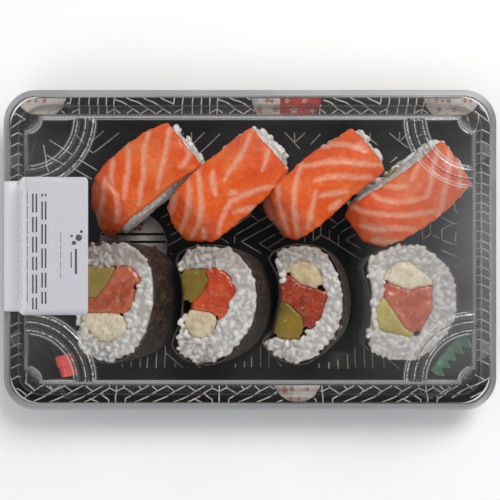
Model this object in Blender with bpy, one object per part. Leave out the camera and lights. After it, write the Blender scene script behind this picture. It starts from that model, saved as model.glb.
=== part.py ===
"""Takeaway sushi tray: a printed black tray with a clear press-fit lid, four salmon nigiri and four thick rolls.

Modelled in millimetres and turned into metres as each object is made. +X is the long side, +Z is up and the
tray stands on z = 0.
"""
import math
import random

import bmesh
import bpy
from mathutils import Vector

for old in list(bpy.data.objects):
    bpy.data.objects.remove(old, do_unlink=True)

# Pack sizes, in mm.
HALF_X = 120.0
HALF_Y = 78.0
TRAY_SHEET = 0.6
LID_SHEET = 0.45
PANEL_Z = 49.2
PANEL_INSET = 18.0
SCALLOP_R = 6.6
CORNER_STEPS = 7
GAP = 0.4

# Upper surface of the tray as inset from the outline and height.
TRAY_PROFILE = [(4.0, 17.5), (4.0, 21.4), (4.6, 22.0), (7.4, 22.0), (8.0, 21.4), (8.4, 18.7), (9.0, 18.2),
                (11.0, 18.0), (11.8, 17.3), (18.0, 5.8), (19.6, 4.4), (25.5, 1.1), (27.5, 0.6)]

# Lid wall as offset outward from the panel edge, height and how far the corner has turned from flute to round.
LID_RINGS = [(0.0, PANEL_Z, 0.0), (0.9, 48.3, 0.0), (2.9, 42.2, 0.15), (3.1, 41.6, 0.18), (8.6, 24.0, 0.9),
             (9.4, 22.9, 1.0), (14.0, 22.9, 1.0), (14.6, 22.4, 1.0), (14.8, 18.9, 1.0), (15.4, 18.2, 1.0),
             (18.0, 18.0, 1.0), (18.0, 17.2, 1.0)]
LUG_TOP_RING = 3
LUG_FOOT_RING = 4
LUG_REACH = 9.2

# Quarter-ring ridge around each panel corner: radius and height above the panel.
RIDGE = [(22.4, 0.0), (23.6, 0.5), (26.8, 0.8), (30.0, 0.5), (31.2, 0.0)]

# Lug centre and half width along the sides from each panel corner (side across X, side across Y).
LUGS = {(1, 1): ((14.0, 5.0), (15.5, 5.0)), (-1, 1): ((19.0, 4.6), (13.6, 5.0)),
        (-1, -1): ((19.0, 4.6), (18.0, 4.4)), (1, -1): ((14.0, 5.0), (19.0, 4.6))}

# Paper label on the lid's left end.
LABEL_END_X = -73.7
LABEL_LOW_Y = -29.6
LABEL_HIGH_Y = 33.2
LABEL_LIFT = 0.35
LABEL_SHEET = 0.25

# Nigiri: centre, angle, crown height, salmon edges (along, low side, high side), rice block (u0, u1, v0, v1).
NIGIRI = [
    ((-51.3, 33.4), 39.5, 35.0,
     [(-31.0, -9.6, -3.0), (-26.0, -9.8, 7.0), (-19.0, -9.7, 13.6), (-10.0, -9.8, 16.8), (0.0, -9.6, 17.0),
      (10.0, -9.8, 17.0), (19.0, -10.8, 15.5), (26.0, -11.5, 13.5)], (-26.0, 28.2, -12.6, 14.0)),
    ((-11.3, 30.6), 41.4, 36.0,
     [(-31.5, -6.0, 2.0), (-28.5, -10.2, 11.5), (-22.0, -14.6, 13.5), (-10.0, -15.8, 14.2), (0.0, -16.0, 14.0),
      (10.0, -15.6, 13.6), (20.0, -14.0, 13.5), (26.5, -13.0, 12.8)], (-26.5, 31.2, -13.4, 13.2)),
    ((34.4, 32.0), 39.0, 36.0,
     [(-29.4, -8.0, 6.0), (-27.0, -12.4, 11.0), (-18.0, -14.0, 12.8), (-9.0, -14.0, 13.0), (0.0, -13.2, 14.0),
      (9.0, -12.8, 13.4), (19.0, -13.2, 11.8), (27.0, -13.3, 11.0)], (-25.5, 31.2, -12.6, 11.8)),
    ((75.3, 25.9), 35.0, 35.0,
     [(-28.5, -6.0, 9.0), (-25.0, -11.4, 12.0), (-18.0, -13.9, 11.0), (-9.0, -15.0, 10.4), (0.0, -15.9, 10.3),
      (10.0, -15.3, 9.8), (20.0, -13.6, 10.9), (27.8, -11.6, 12.0)], (-24.5, 30.4, -12.6, 13.6)),
]

# Rolls: centre, rise of the cut face towards +X, lean of the right wall at its foot, outline and fillings.
ROLLS = [
    ((-65.3, -24.9), 0.2, (10.2, -2.5),
     [(-2.9, 28.9), (4.3, 29.2), (9.5, 27.8), (14.1, 24.4), (17.9, 19.3), (20.2, 12.5), (20.4, 4.0), (18.6, -7.6),
      (16.0, -15.7), (11.9, -21.9), (5.7, -26.9), (-1.0, -29.4), (-8.5, -28.6), (-15.5, -25.5), (-20.0, -19.5),
      (-19.0, -12.0), (-17.4, -3.0), (-17.2, 6.0), (-19.2, 16.0), (-19.6, 22.5), (-13.5, 26.6)],
     {"avocado": [(-14.8, 15.6), (1.0, 16.2), (-2.9, 9.1), (-8.6, 2.0), (-15.0, 2.6)],
      "salmon": [(1.8, 15.9), (10.0, 15.4), (12.4, 11.7), (9.5, 7.2), (10.0, 1.9), (7.4, -3.3), (3.3, -5.0),
                 (-14.6, -5.0), (-14.6, 1.8), (-8.4, 1.6), (-2.4, 9.1)],
      "cheese": [(-13.8, -5.6), (0.0, -5.4), (3.3, -6.4), (5.7, -12.4), (2.1, -16.7), (-5.7, -18.6), (-8.2, -15.4),
                 (-13.2, -12.4)]}),
    ((-17.6, -25.9), 0.2, (8.2, -2.5),
     [(-1.0, 28.6), (6.9, 27.7), (12.0, 24.8), (15.6, 21.5), (19.6, 15.0), (21.5, 7.2), (20.5, -3.8), (17.2, -12.9),
      (11.0, -21.2), (4.3, -27.2), (-1.8, -29.3), (-8.8, -28.6), (-14.3, -26.7), (-19.1, -22.6), (-20.6, -18.4),
      (-18.2, -13.6), (-15.9, -6.7), (-15.0, 1.9), (-15.5, 10.5), (-17.2, 16.5), (-18.4, 20.4), (-16.8, 24.2),
      (-12.4, 26.9), (-6.5, 28.3)],
     {"avocado": [(-14.2, 15.0), (-4.3, 16.2), (-2.4, 11.0), (-5.7, 4.8), (-10.5, 0.5), (-13.4, 2.8), (-14.0, 8.6)],
      "salmon": [(-3.8, 16.0), (3.3, 16.2), (6.2, 14.8), (10.0, 8.1), (6.9, 1.9), (6.2, -1.0), (6.9, -2.9),
                 (4.3, -6.5), (-1.4, -3.8), (-11.0, -2.4), (-10.2, 0.2), (-5.4, 4.4), (-2.0, 11.0)],
      "cheese": [(-11.0, -2.9), (-1.4, -4.2), (1.2, -6.2), (-1.0, -11.4), (-5.0, -15.7), (-8.6, -15.5),
                 (-11.4, -12.4), (-13.6, -7.2)]}),
    ((27.7, -25.9), 0.17, (6.2, -1.5),
     [(-4.8, 28.9), (2.9, 28.1), (8.1, 26.0), (12.4, 20.5), (15.3, 13.4), (16.9, 4.5), (16.7, -3.8), (14.3, -12.9),
      (9.5, -20.0), (4.5, -25.3), (-0.2, -28.6), (-4.8, -29.3), (-9.2, -28.3), (-14.3, -26.7), (-19.4, -22.8),
      (-21.9, -19.1), (-19.6, -16.2), (-16.9, -13.8), (-15.5, -7.6), (-13.6, 0.5), (-13.7, 8.6), (-15.7, 15.6),
      (-18.6, 20.4), (-18.4, 23.6), (-14.3, 26.2), (-9.6, 28.2)],
     {"cheese": [(-9.5, 16.5), (-2.4, 20.3), (3.3, 17.6), (6.2, 9.5), (3.1, 7.8), (-3.8, 10.0), (-6.9, 12.9)],
      "salmon": [(-8.8, 13.8), (-6.9, 12.4), (-3.8, 9.6), (2.9, 7.4), (8.6, 5.7), (7.6, 0.5), (5.7, -6.2),
                 (1.9, -11.4), (-1.7, -10.6), (-2.9, -5.5), (-9.0, 0.4), (-12.2, 1.6), (-12.2, 8.1)],
      "avocado": [(-12.0, 1.0), (-9.0, 0.0), (-3.3, -5.7), (-1.9, -11.0), (-4.3, -16.2), (-14.8, -15.0),
                  (-14.2, -8.1)]}),
    ((77.7, -25.4), 0.04, (0.0, 0.0),
     [(-2.4, 28.3), (4.8, 27.7), (10.8, 24.1), (17.2, 18.1), (20.5, 11.4), (21.7, 4.1), (21.4, -3.0), (20.2, -8.6),
      (17.2, -14.8), (12.9, -20.0), (8.4, -24.3), (2.1, -27.7), (-3.4, -28.4), (-9.5, -27.2), (-16.7, -25.3),
      (-21.8, -22.4), (-23.6, -19.1), (-22.0, -13.8), (-20.7, -8.6), (-20.1, -2.9), (-20.6, 4.1), (-21.8, 10.0),
      (-24.2, 15.6), (-22.6, 20.2), (-15.4, 25.2), (-8.8, 27.6)],
     {"cheese": [(-10.5, 15.7), (-4.8, 19.6), (2.1, 16.0), (7.6, 12.4), (8.1, 8.8), (2.1, 7.8), (-1.4, 6.5),
                 (-10.5, 9.7), (-12.4, 11.4)],
      "salmon": [(-11.9, 9.5), (-1.4, 6.1), (2.1, 7.4), (8.1, 8.2), (9.1, 1.9), (8.6, -3.8), (5.7, -8.6),
                 (1.4, -13.6), (-3.6, -11.5), (-8.6, -3.6), (-13.6, 3.6)],
      "avocado": [(-13.8, 2.5), (-9.0, -4.0), (-3.9, -12.0), (1.0, -15.7), (-6.2, -15.2), (-16.4, -11.4),
                  (-16.2, -2.4)]}),
]
CUT_FACE_Z = 28.0
ROLL_SIDES = 40
NORI_SHEET = 0.55

# Small pieces.
CAP_CENTRE = (-90.0, -56.6)
CAP_TILT = 13.0
LEAF_FOOT_A = (89.2, -59.4)
LEAF_FOOT_B = (104.4, -41.6)
LEAF_TEETH = 5
LEAF_REACH = 6.6
LEAF_SHEET = 0.3

COLOURS = {"tray": (0.035, 0.035, 0.038, 1.0), "lid": (0.9, 0.92, 0.95, 0.3), "label": (0.8, 0.8, 0.83, 1.0),
           "rice": (0.78, 0.76, 0.72, 1.0), "salmon": (0.75, 0.22, 0.08, 1.0), "raw": (0.55, 0.14, 0.07, 1.0),
           "nori": (0.025, 0.02, 0.015, 1.0), "avocado": (0.42, 0.4, 0.1, 1.0), "cheese": (0.72, 0.64, 0.45, 1.0),
           "cap": (0.65, 0.09, 0.1, 1.0), "leaf": (0.08, 0.2, 0.1, 1.0)}


def material(name):
    found = bpy.data.materials.get(name)
    if found is None:
        found = bpy.data.materials.new(name)
        found.use_nodes = True
        shader = found.node_tree.nodes["Principled BSDF"]
        shader.inputs["Base Color"].default_value = COLOURS[name]
        shader.inputs["Roughness"].default_value = 0.4
        if name == "lid":
            shader.inputs["Alpha"].default_value = 0.3
    return found


def add_object(name, bm, kind, turn_out=True):
    bmesh.ops.remove_doubles(bm, verts=bm.verts, dist=0.002)
    if turn_out:
        bmesh.ops.recalc_face_normals(bm, faces=bm.faces)
    for vert in bm.verts:
        vert.co *= 0.001
    mesh = bpy.data.meshes.new(name)
    bm.to_mesh(mesh)
    bm.free()
    mesh.materials.append(material(kind))
    obj = bpy.data.objects.new(name, mesh)
    bpy.context.collection.objects.link(obj)
    return obj


def add_loft(bm, loops, cap_first=True, cap_last=True):
    """Skin through loops of equal length; the ends are closed with one face each."""
    rows = [[bm.verts.new(p) for p in loop] for loop in loops]
    count = len(rows[0])
    for low, high in zip(rows, rows[1:]):
        for i in range(count):
            j = (i + 1) % count
            bm.faces.new((low[i], high[i], high[j], low[j]))
    if cap_first:
        bm.faces.new(rows[0])
    if cap_last:
        bm.faces.new(list(reversed(rows[-1])))
    return rows


def ring_radius(inset):
    """Corner radius of the tray at an inset: tight at the lip, wide at the floor."""
    if inset < 8.0:
        return 16.0 - 0.25 * inset
    return 14.0 + min(inset - 8.0, 18.0) / 3.0


def rounded_ring(inset, z):
    radius = ring_radius(inset)
    points = []
    for quarter in range(4):
        sx = 1 if quarter in (0, 3) else -1
        sy = 1 if quarter in (0, 1) else -1
        cx = sx * (HALF_X - inset - radius)
        cy = sy * (HALF_Y - inset - radius)
        for step in range(CORNER_STEPS + 1):
            turn = math.radians(90 * quarter + 90 * step / CORNER_STEPS)
            points.append(Vector((cx + radius * math.cos(turn), cy + radius * math.sin(turn), z)))
    return points


def outside_ring(x, y, inset):
    """Distance of a point outside the tray's ring at an inset, below zero inside it."""
    radius = ring_radius(inset)
    dx = abs(x) - (HALF_X - inset - radius)
    dy = abs(y) - (HALF_Y - inset - radius)
    return math.hypot(max(dx, 0.0), max(dy, 0.0)) + min(max(dx, dy), 0.0) - radius


def tray_top(x, y):
    """Height of the tray's upper surface at a point of the plan."""
    low, high = 4.0, 40.0
    for _ in range(24):
        middle = 0.5 * (low + high)
        if outside_ring(x, y, middle) < 0.0:
            low = middle
        else:
            high = middle
    for (i0, z0), (i1, z1) in zip(TRAY_PROFILE[2:], TRAY_PROFILE[3:]):
        if i0 <= low <= i1:
            return z0 + (z1 - z0) * (low - i0) / (i1 - i0)
    return TRAY_PROFILE[-1][1] if low > 20.0 else TRAY_PROFILE[2][1]


def rest_z(x, y):
    """Foot of what lies in the tray."""
    return tray_top(x, y) + GAP + 0.2


def build_tray():
    under = []
    for k, (inset, z) in enumerate(TRAY_PROFILE):
        normal = Vector((0.0, 0.0))
        for a, b in ((k - 1, k), (k, k + 1)):
            if a >= 0 and b < len(TRAY_PROFILE):
                step = Vector(TRAY_PROFILE[b]) - Vector(TRAY_PROFILE[a])
                normal += Vector((step.y * -1.0, step.x)).normalized() * -1.0
        normal.normalize()
        under.append((inset + TRAY_SHEET * normal.x, z + TRAY_SHEET * normal.y))
    under[-1] = (under[-1][0], 0.0)
    loops = [rounded_ring(i, z) for i, z in reversed(TRAY_PROFILE)]
    loops += [rounded_ring(i, z) for i, z in under]
    bm = bmesh.new()
    add_loft(bm, loops)
    add_object("tray", bm, "tray")


def ridge_height(radius):
    for (r0, h0), (r1, h1) in zip(RIDGE, RIDGE[1:]):
        if r0 <= radius <= r1:
            return h0 + (h1 - h0) * (radius - r0) / (r1 - r0)
    return 0.0


def side_stations(lug):
    """Distances from the panel corner along one side, with the lug's swell at each."""
    centre, half = lug
    turns = (-1.0, -0.87, -0.5, 0.0, 0.5, 0.87, 1.0)
    stops = {round(centre + half * t, 3): math.sqrt(1.0 - t * t) for t in turns}
    for radius, _ in RIDGE:
        if all(abs(radius - s) > 0.4 for s in stops):
            t = (radius - centre) / half
            stops[radius] = math.sqrt(max(0.0, 1.0 - t * t))
        else:
            near = min(stops, key=lambda s: abs(s - radius))
            swell = stops.pop(near)
            stops[radius] = swell
    return [(s, stops[s]) for s in sorted(stops)]


def lid_stations():
    """Stations around the lid, counter-clockwise: (sign x, sign y, which side or corner, value, swell)."""
    stations = []
    for sx, sy in ((1, 1), (-1, 1), (-1, -1), (1, -1)):
        across_x = [("x", d, b) for d, b in side_stations(LUGS[(sx, sy)][0])]
        across_y = [("y", d, b) for d, b in side_stations(LUGS[(sx, sy)][1])]
        arc = [("c", step / CORNER_STEPS, 0.0) for step in range(CORNER_STEPS + 1)]
        run = list(reversed(across_x)) + arc + across_y
        if sx * sy < 0:
            run.reverse()
        stations += [(sx, sy) + item for item in run]
    return stations


def lid_point(station, ring):
    sx, sy, side, value, swell = station
    out, z, turned = LID_RINGS[ring]
    px = HALF_X - PANEL_INSET
    py = HALF_Y - PANEL_INSET
    if side == "c":
        t = math.radians(90 * value)
        flute = (px + out - SCALLOP_R * math.sin(t), py + out - SCALLOP_R * math.cos(t))
        radius = 10.0 + 6.0 * max(0.0, out - 9.4) / 8.6
        x = px + out - radius + radius * math.cos(t)
        y = py + out - radius + radius * math.sin(t)
        x = flute[0] + (x - flute[0]) * turned
        y = flute[1] + (y - flute[1]) * turned
        return Vector((sx * x, sy * y, z))
    if ring in (LUG_TOP_RING, LUG_FOOT_RING):
        out += swell * (LUG_REACH - out)
    if ring == 0:
        z += ridge_height(value)
    if side == "x":
        return Vector((sx * (px + out), sy * (py - value), z))
    return Vector((sx * (px - value), sy * (py + out), z))


def corner_arc(sx, sy, radius, z):
    px = HALF_X - PANEL_INSET
    py = HALF_Y - PANEL_INSET
    points = []
    for step in range(CORNER_STEPS + 1):
        t = math.radians(90 * step / CORNER_STEPS)
        points.append(Vector((sx * (px - radius * math.sin(t)), sy * (py - radius * math.cos(t)), z)))
    if sx * sy < 0:
        points.reverse()
    return points


def build_lid():
    bm = bmesh.new()

    def face(points):
        bm.faces.new([bm.verts.new(p) for p in points])

    stations = lid_stations()
    count = len(stations)
    for ring in range(len(LID_RINGS) - 1):
        for i in range(count):
            j = (i + 1) % count
            face([lid_point(stations[i], ring), lid_point(stations[i], ring + 1),
                  lid_point(stations[j], ring + 1), lid_point(stations[j], ring)])
    middle = []
    for sx, sy in ((1, 1), (-1, 1), (-1, -1), (1, -1)):
        arcs = [corner_arc(sx, sy, r, PANEL_Z + h) for r, h in RIDGE]
        for inner, outer in zip(arcs, arcs[1:]):
            for step in range(CORNER_STEPS):
                face([inner[step], inner[step + 1], outer[step + 1], outer[step]])
        near = [lid_point(s, 0) for s in stations
                if s[0] == sx and s[1] == sy and (s[2] == "c" or s[3] <= RIDGE[0][0])]
        face(near + [p.copy() for p in reversed(arcs[0])][1:-1])
        middle += arcs[-1]
    face(middle)
    bmesh.ops.remove_doubles(bm, verts=bm.verts, dist=0.01)
    bmesh.ops.dissolve_limit(bm, angle_limit=math.radians(0.6), verts=bm.verts, edges=bm.edges)
    lid = add_object("lid", bm, "lid", turn_out=False)
    sheet = lid.modifiers.new("sheet", "SOLIDIFY")
    sheet.thickness = LID_SHEET * 0.001
    sheet.offset = -1.0
    sheet.use_even_offset = True


def label_z(x, y):
    corner = math.hypot(abs(x) - (HALF_X - PANEL_INSET), abs(y) - (HALF_Y - PANEL_INSET))
    return PANEL_Z + ridge_height(corner) + LABEL_LIFT


def build_label():
    """A paper strip from the panel over the lid's left wall to its rim."""
    edge = HALF_X - PANEL_INSET
    wall = [(1.35, 48.6), (3.45, 42.2), (9.0, 24.4), (9.8, 23.35), (14.0, 23.35), (15.1, 22.6), (17.4, 18.6)]
    across = [LABEL_LOW_Y, -27.6, 27.6, 29.5, 31.4, LABEL_HIGH_Y]
    along = [LABEL_END_X, LABEL_END_X - 1.2, -80.0, -86.0, -90.0, -94.0, -98.0, -edge - 0.1]
    lower = []
    for y in across:
        row = []
        for k, x in enumerate(along):
            trim = 1.2 if k == 0 else 0.0
            yy = max(LABEL_LOW_Y + trim, min(LABEL_HIGH_Y - trim, y))
            row.append(Vector((x, yy, label_z(x, yy))))
        for out, z in wall:
            row.append(Vector((-edge - out, y, z)))
        lower.append(row)
    normals = []
    for j, row in enumerate(lower):
        line = []
        for k in range(len(row)):
            ahead = row[min(k + 1, len(row) - 1)]
            behind = row[max(k - 1, 0)]
            run = ahead - behind
            line.append(Vector((run.z, 0.0, -run.x)).normalized())
        normals.append(line)
    bm = bmesh.new()
    low = [[bm.verts.new(p) for p in row] for row in lower]
    top = [[bm.verts.new(p + n * LABEL_SHEET) for p, n in zip(row, line)] for row, line in zip(lower, normals)]
    rows, columns = len(low), len(low[0])
    for j in range(rows - 1):
        for k in range(columns - 1):
            bm.faces.new((low[j][k], low[j][k + 1], low[j + 1][k + 1], low[j + 1][k]))
            bm.faces.new((top[j][k], top[j + 1][k], top[j + 1][k + 1], top[j][k + 1]))
    for k in range(columns - 1):
        bm.faces.new((low[0][k], top[0][k], top[0][k + 1], low[0][k + 1]))
        bm.faces.new((low[-1][k], low[-1][k + 1], top[-1][k + 1], top[-1][k]))
    for j in range(rows - 1):
        bm.faces.new((low[j][0], low[j + 1][0], top[j + 1][0], top[j][0]))
        bm.faces.new((low[j][-1], top[j][-1], top[j + 1][-1], low[j + 1][-1]))
    add_object("label", bm, "label")


def edges_at(edges, u):
    """Low and high edge of a salmon slice at a place along it."""
    if u <= edges[0][0]:
        return edges[0][1:]
    for a, b in zip(edges, edges[1:]):
        if u <= b[0]:
            t = (u - a[0]) / (b[0] - a[0])
            t = t * t * (3 - 2 * t) if a is edges[0] else t
            return a[1] + (b[1] - a[1]) * t, a[2] + (b[2] - a[2]) * t
    return edges[-1][1:]


def slice_top(crown, edges, u, v):
    low, high = edges_at(edges, u)
    if u < edges[2][0]:
        low = min(low, edges_at(edges, edges[2][0])[0] + 2.0)
        high = max(high, edges_at(edges, edges[2][0])[1] - 2.0)
    across = (v - 0.5 * (low + high)) / (0.5 * (high - low))
    z = crown - 4.4 * min(abs(across), 1.35) ** 2.2
    tail = -16.0 - u
    if tail > 0.0:
        z -= 14.5 * (tail / 15.0) ** 1.5
    head = u - 18.0
    if head > 0.0:
        z -= 1.6 * (head / 10.0) ** 2
    return z, min(abs(across), 1.0)


def slice_thickness(u, across):
    steep = max(0.0, min(1.0, (-17.0 - u) / 9.0))
    return (4.4 - 1.5 * across * across) * (1.0 + 0.7 * steep)


def build_nigiri(index, spec, rng):
    centre, angle, crown, edges, block = spec
    turn = math.radians(angle)
    axis = Vector((math.cos(turn), math.sin(turn), 0.0))
    side = Vector((-axis.y, axis.x, 0.0))
    origin = Vector((centre[0], centre[1], 0.0))

    def place(u, v, z):
        return origin + axis * u + side * v + Vector((0.0, 0.0, z))

    stops = [edges[0][0], edges[0][0] + 1.4, edges[1][0] + 0.6, -23.5, -20.0, -16.0, -9.0, -1.0, 7.0, 15.0,
             21.0, edges[-1][0]]
    stops = sorted(set(stops))
    bm = bmesh.new()
    upper, lower = [], []
    for u in stops:
        low, high = edges_at(edges, u)
        top_row, low_row = [], []
        for k in range(8):
            v = low + (high - low) * k / 7
            z, across = slice_top(crown, edges, u, v)
            top_row.append(bm.verts.new(place(u, v, z)))
            low_row.append(bm.verts.new(place(u, v, z - slice_thickness(u, across))))
        upper.append(top_row)
        lower.append(low_row)
    for j in range(len(stops) - 1):
        for k in range(7):
            bm.faces.new((upper[j][k], upper[j + 1][k], upper[j + 1][k + 1], upper[j][k + 1]))
            bm.faces.new((lower[j][k], lower[j][k + 1], lower[j + 1][k + 1], lower[j + 1][k]))
        bm.faces.new((upper[j][0], lower[j][0], lower[j + 1][0], upper[j + 1][0]))
        bm.faces.new((upper[j][7], upper[j + 1][7], lower[j + 1][7], lower[j][7]))
    for row_up, row_low in ((upper[0], lower[0]), (upper[-1], lower[-1])):
        for k in range(7):
            bm.faces.new((row_up[k], row_up[k + 1], row_low[k + 1], row_low[k]))
    add_object("nigiri_%d_salmon" % index, bm, "salmon")

    u0, u1, v0, v1 = block
    rings = [(3.0, 0.0), (0.8, 4.6), (0.0, 10.0), (0.3, 16.0), (1.1, 22.0), (2.8, 27.0), (5.6, 60.0), (9.0, 60.0)]
    loops = []
    for k, (inset, z) in enumerate(rings):
        radius = max(2.0, 5.6 - inset * 0.3)
        loop = []
        for quarter in range(4):
            cu = (u1 - inset - radius) if quarter in (0, 3) else (u0 + inset + radius)
            cv = (v1 - inset - radius) if quarter in (0, 1) else (v0 + inset + radius)
            for step in range(5):
                a = math.radians(90 * quarter + 22.5 * step)
                loop.append((cu + radius * math.cos(a), cv + radius * math.sin(a)))
            if quarter in (0, 2):
                sign = -1 if quarter == 0 else 1
                span = (u1 - u0) - 2 * inset - 2 * radius
                for part in (0.2, 0.4, 0.6, 0.8):
                    loop.append((cu + sign * span * part, cv + radius * (1 if quarter == 0 else -1)))
        points = []
        for u, v in loop:
            wide = rng.uniform(-0.7, 0.25) if 0 < k else 0.0
            reach = math.hypot(u, v) or 1.0
            uu = u + wide * u / reach
            vv = v + wide * v / reach
            ztop, across = slice_top(crown, edges, uu, vv)
            ceiling = ztop - slice_thickness(uu, across) - 0.5 - rng.uniform(0.0, 0.5)
            if uu > edges[-1][0] - 1.0:
                ceiling -= 0.4 * (uu - edges[-1][0] + 1.0)
            p = origin + axis * uu + side * vv
            floor = rest_z(p.x, p.y)
            height = floor if k == 0 else max(floor + 0.8 * k, z + rng.uniform(-0.8, 0.8))
            points.append(Vector((p.x, p.y, min(height, ceiling))))
        loops.append(points)
    bm = bmesh.new()
    rows = add_loft(bm, loops, cap_first=True, cap_last=False)
    crest = origin + axis * 0.5 * (u0 + u1) + side * 0.5 * (v0 + v1)
    last = rows[-1]
    half = len(last) // 2
    spine = []
    for part in (0.2, 0.4, 0.6, 0.8):
        u = u1 - 15.0 - (u1 - u0 - 30.0) * (part - 0.2) / 0.6
        v = 0.5 * (v0 + v1)
        ztop, across = slice_top(crown, edges, u, v)
        p = origin + axis * u + side * v
        spine.append(bm.verts.new((p.x, p.y, ztop - slice_thickness(u, across) - 0.5 - rng.uniform(0.1, 0.5))))
    count = len(last)
    for i in range(count):
        j = (i + 1) % count
        a = min(spine, key=lambda s: (s.co - last[i].co).length)
        b = min(spine, key=lambda s: (s.co - last[j].co).length)
        if a is b:
            bm.faces.new((last[i], a, last[j]))
        else:
            bm.faces.new((last[i], a, b, last[j]))
    add_object("nigiri_%d_rice" % index, bm, "rice")


def smooth_loop(points, count):
    """Closed smooth curve through points, at evenly spaced places, counter-clockwise."""
    pts = [Vector(p) for p in points]
    dense = []
    total = len(pts)
    for i in range(total):
        p0, p1, p2, p3 = pts[i - 1], pts[i], pts[(i + 1) % total], pts[(i + 2) % total]
        for step in range(10):
            t = step / 10
            dense.append(0.5 * (2 * p1 + (p2 - p0) * t + (2 * p0 - 5 * p1 + 4 * p2 - p3) * t * t
                                + (3 * p1 - p0 - 3 * p2 + p3) * t * t * t))
    area = sum(a.x * b.y - b.x * a.y for a, b in zip(dense, dense[1:] + dense[:1]))
    if area < 0:
        dense.reverse()
    lengths = [0.0]
    for a, b in zip(dense, dense[1:] + dense[:1]):
        lengths.append(lengths[-1] + (b - a).length)
    result = []
    k = 0
    for i in range(count):
        want = lengths[-1] * i / count
        while lengths[k + 1] < want:
            k += 1
        t = (want - lengths[k]) / (lengths[k + 1] - lengths[k])
        result.append(dense[k].lerp(dense[(k + 1) % len(dense)], t))
    return result


def inset_loop(loop, distance):
    """Loop moved inward by a distance; the loop runs counter-clockwise."""
    result = []
    total = len(loop)
    for i in range(total):
        before = (loop[i] - loop[i - 1]).normalized()
        after = (loop[(i + 1) % total] - loop[i]).normalized()
        n0 = Vector((-before.y, before.x))
        n1 = Vector((-after.y, after.x))
        mid = (n0 + n1).normalized()
        result.append(loop[i] + mid * (distance / max(0.5, mid.dot(n0))))
    return result


def reach_of(loop, centre, direction):
    """Furthest crossing of a ray with a loop, 0 when it misses."""
    best = 0.0
    for a, b in zip(loop, loop[1:] + loop[:1]):
        edge = b - a
        cross = direction.x * edge.y - direction.y * edge.x
        if abs(cross) < 1e-9:
            continue
        to = a - centre
        t = (to.x * edge.y - to.y * edge.x) / cross
        s = (to.x * direction.y - to.y * direction.x) / cross
        if t > 0.0 and -1e-6 <= s <= 1.000001:
            best = max(best, t)
    return best


def clearance(loop, point):
    """Distance of a point from a loop's outline, below zero inside it."""
    nearest = 1e9
    for a, b in zip(loop, loop[1:] + loop[:1]):
        edge = b - a
        t = max(0.0, min(1.0, (point - a).dot(edge) / edge.length_squared))
        nearest = min(nearest, (a + edge * t - point).length)
    return -nearest if crossings(loop, point) % 2 else nearest


def crossings(loop, point):
    count = 0
    for a, b in zip(loop, loop[1:] + loop[:1]):
        if (a.y > point.y) != (b.y > point.y):
            if point.x < a.x + (point.y - a.y) * (b.x - a.x) / (b.y - a.y):
                count += 1
    return count


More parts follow.
